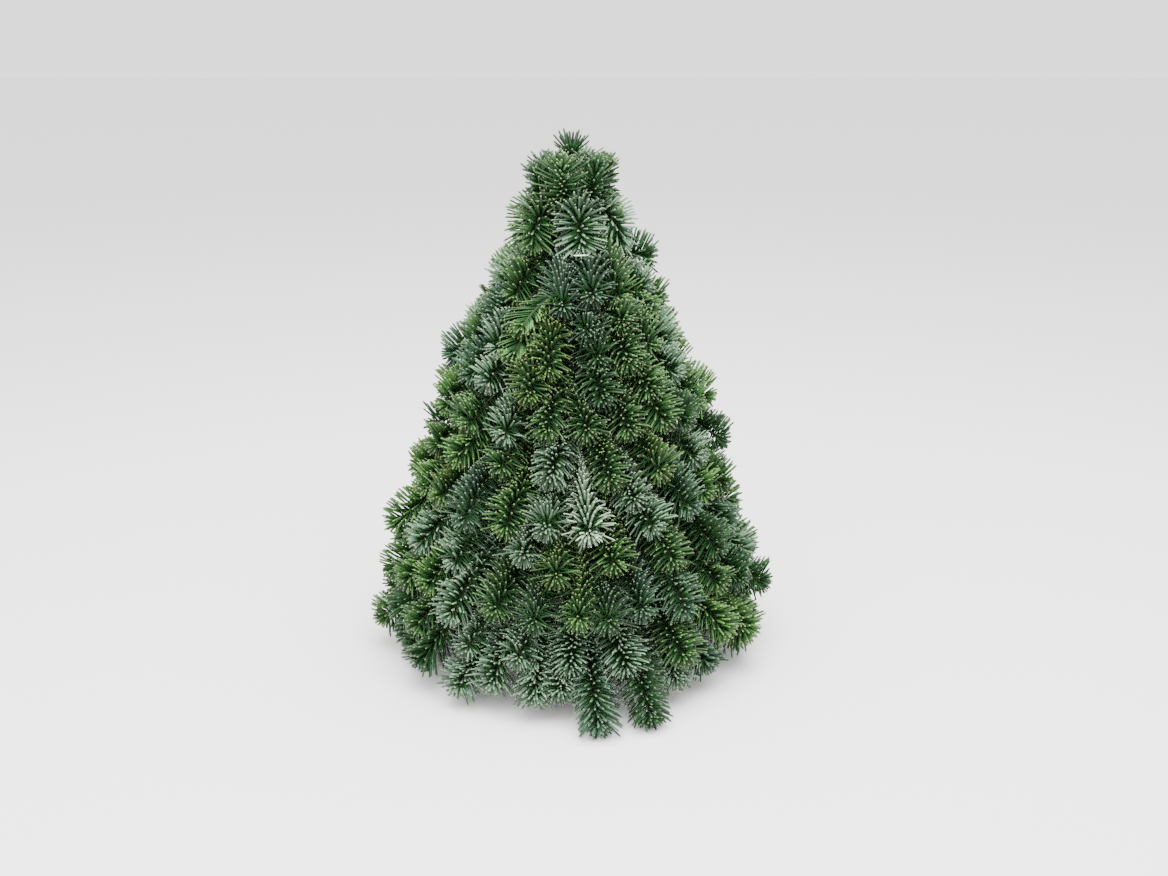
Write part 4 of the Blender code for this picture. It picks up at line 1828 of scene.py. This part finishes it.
@dataclass
class Studio:
    """The pale floor, the soft light and the camera."""

    floor_size: float = 24.0
    sky: float = 1.95
    camera_place: Triple = (0.0116, -1.206, 0.607)
    camera_pitch: float = 18.1
    lens: float = 40.07
    sensor: float = 36.0
    lights: tuple[Softbox, ...] = (
        Softbox("top_softbox", (0.1, -0.5, 1.9), 1.6, 108.0),
        Softbox("front_softbox", (-0.9, -1.6, 1.1), 1.4, 22.0),
    )

    def build(self) -> None:
        """Lays the floor, lights the tree and sets the camera."""
        deselect_all()
        bpy.ops.mesh.primitive_plane_add(size=self.floor_size, location=(0, 0, 0))
        floor = bpy.context.object
        floor.name = "floor"
        floor.data.materials.append(FloorFinish().made())
        world = bpy.data.worlds.new("white_room")
        world.use_nodes = True
        background = world.node_tree.nodes["Background"]
        background.inputs["Color"].default_value = (1.0, 1.0, 1.0, 1.0)
        background.inputs["Strength"].default_value = self.sky
        bpy.context.scene.world = world
        for light in self.lights:
            light.build()
        seen_by = bpy.data.cameras.new("camera")
        seen_by.sensor_width = self.sensor
        seen_by.lens = self.lens
        camera = bpy.data.objects.new("camera", seen_by)
        camera.location = self.camera_place
        camera.rotation_euler = (math.radians(90 - self.camera_pitch), 0.0, 0.0)
        bpy.context.scene.collection.objects.link(camera)
        bpy.context.scene.camera = camera
        LOG.info("studio set")


def main() -> None:
    """Builds the studio, the core and the foliage, and writes down how large they came out."""
    logging.basicConfig(level=logging.INFO, format="%(name)s: %(message)s")
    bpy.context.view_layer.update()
    Studio().build()
    core = Core()
    Stand().build(WoodFinish().made())
    Trunk(core).build(BarkFinish().made())
    FoamCone(core).build(FoamFinish().made())
    dressed = [finish.made() for finish in NEEDLE_FINISHES]
    # The root colour is painted shade on the needles' root halves.
    needle_materials = [NEEDLE_ROOT_SHADE.one("root", NEEDLE_ROOT_SHADE.face)]
    for tint in dressed:
        needle_materials += tint
    foliage = Foliage(Growth(TIERS, LEADER_RINGS, STRAYS, PATCHES, CROWN, core))
    foliage.build_needles(needle_materials, len(dressed[0]))
    foliage.build_twigs([YOUNG_TWIG.made(), CUT_STEM.made()])
    foliage.build_buds([RESINOUS_BUD.made()])
    WirePins(core).build(foliage.sprays, foliage.growth.stem_radius, WireFinish().made())


if __name__ == "__main__":
    main()
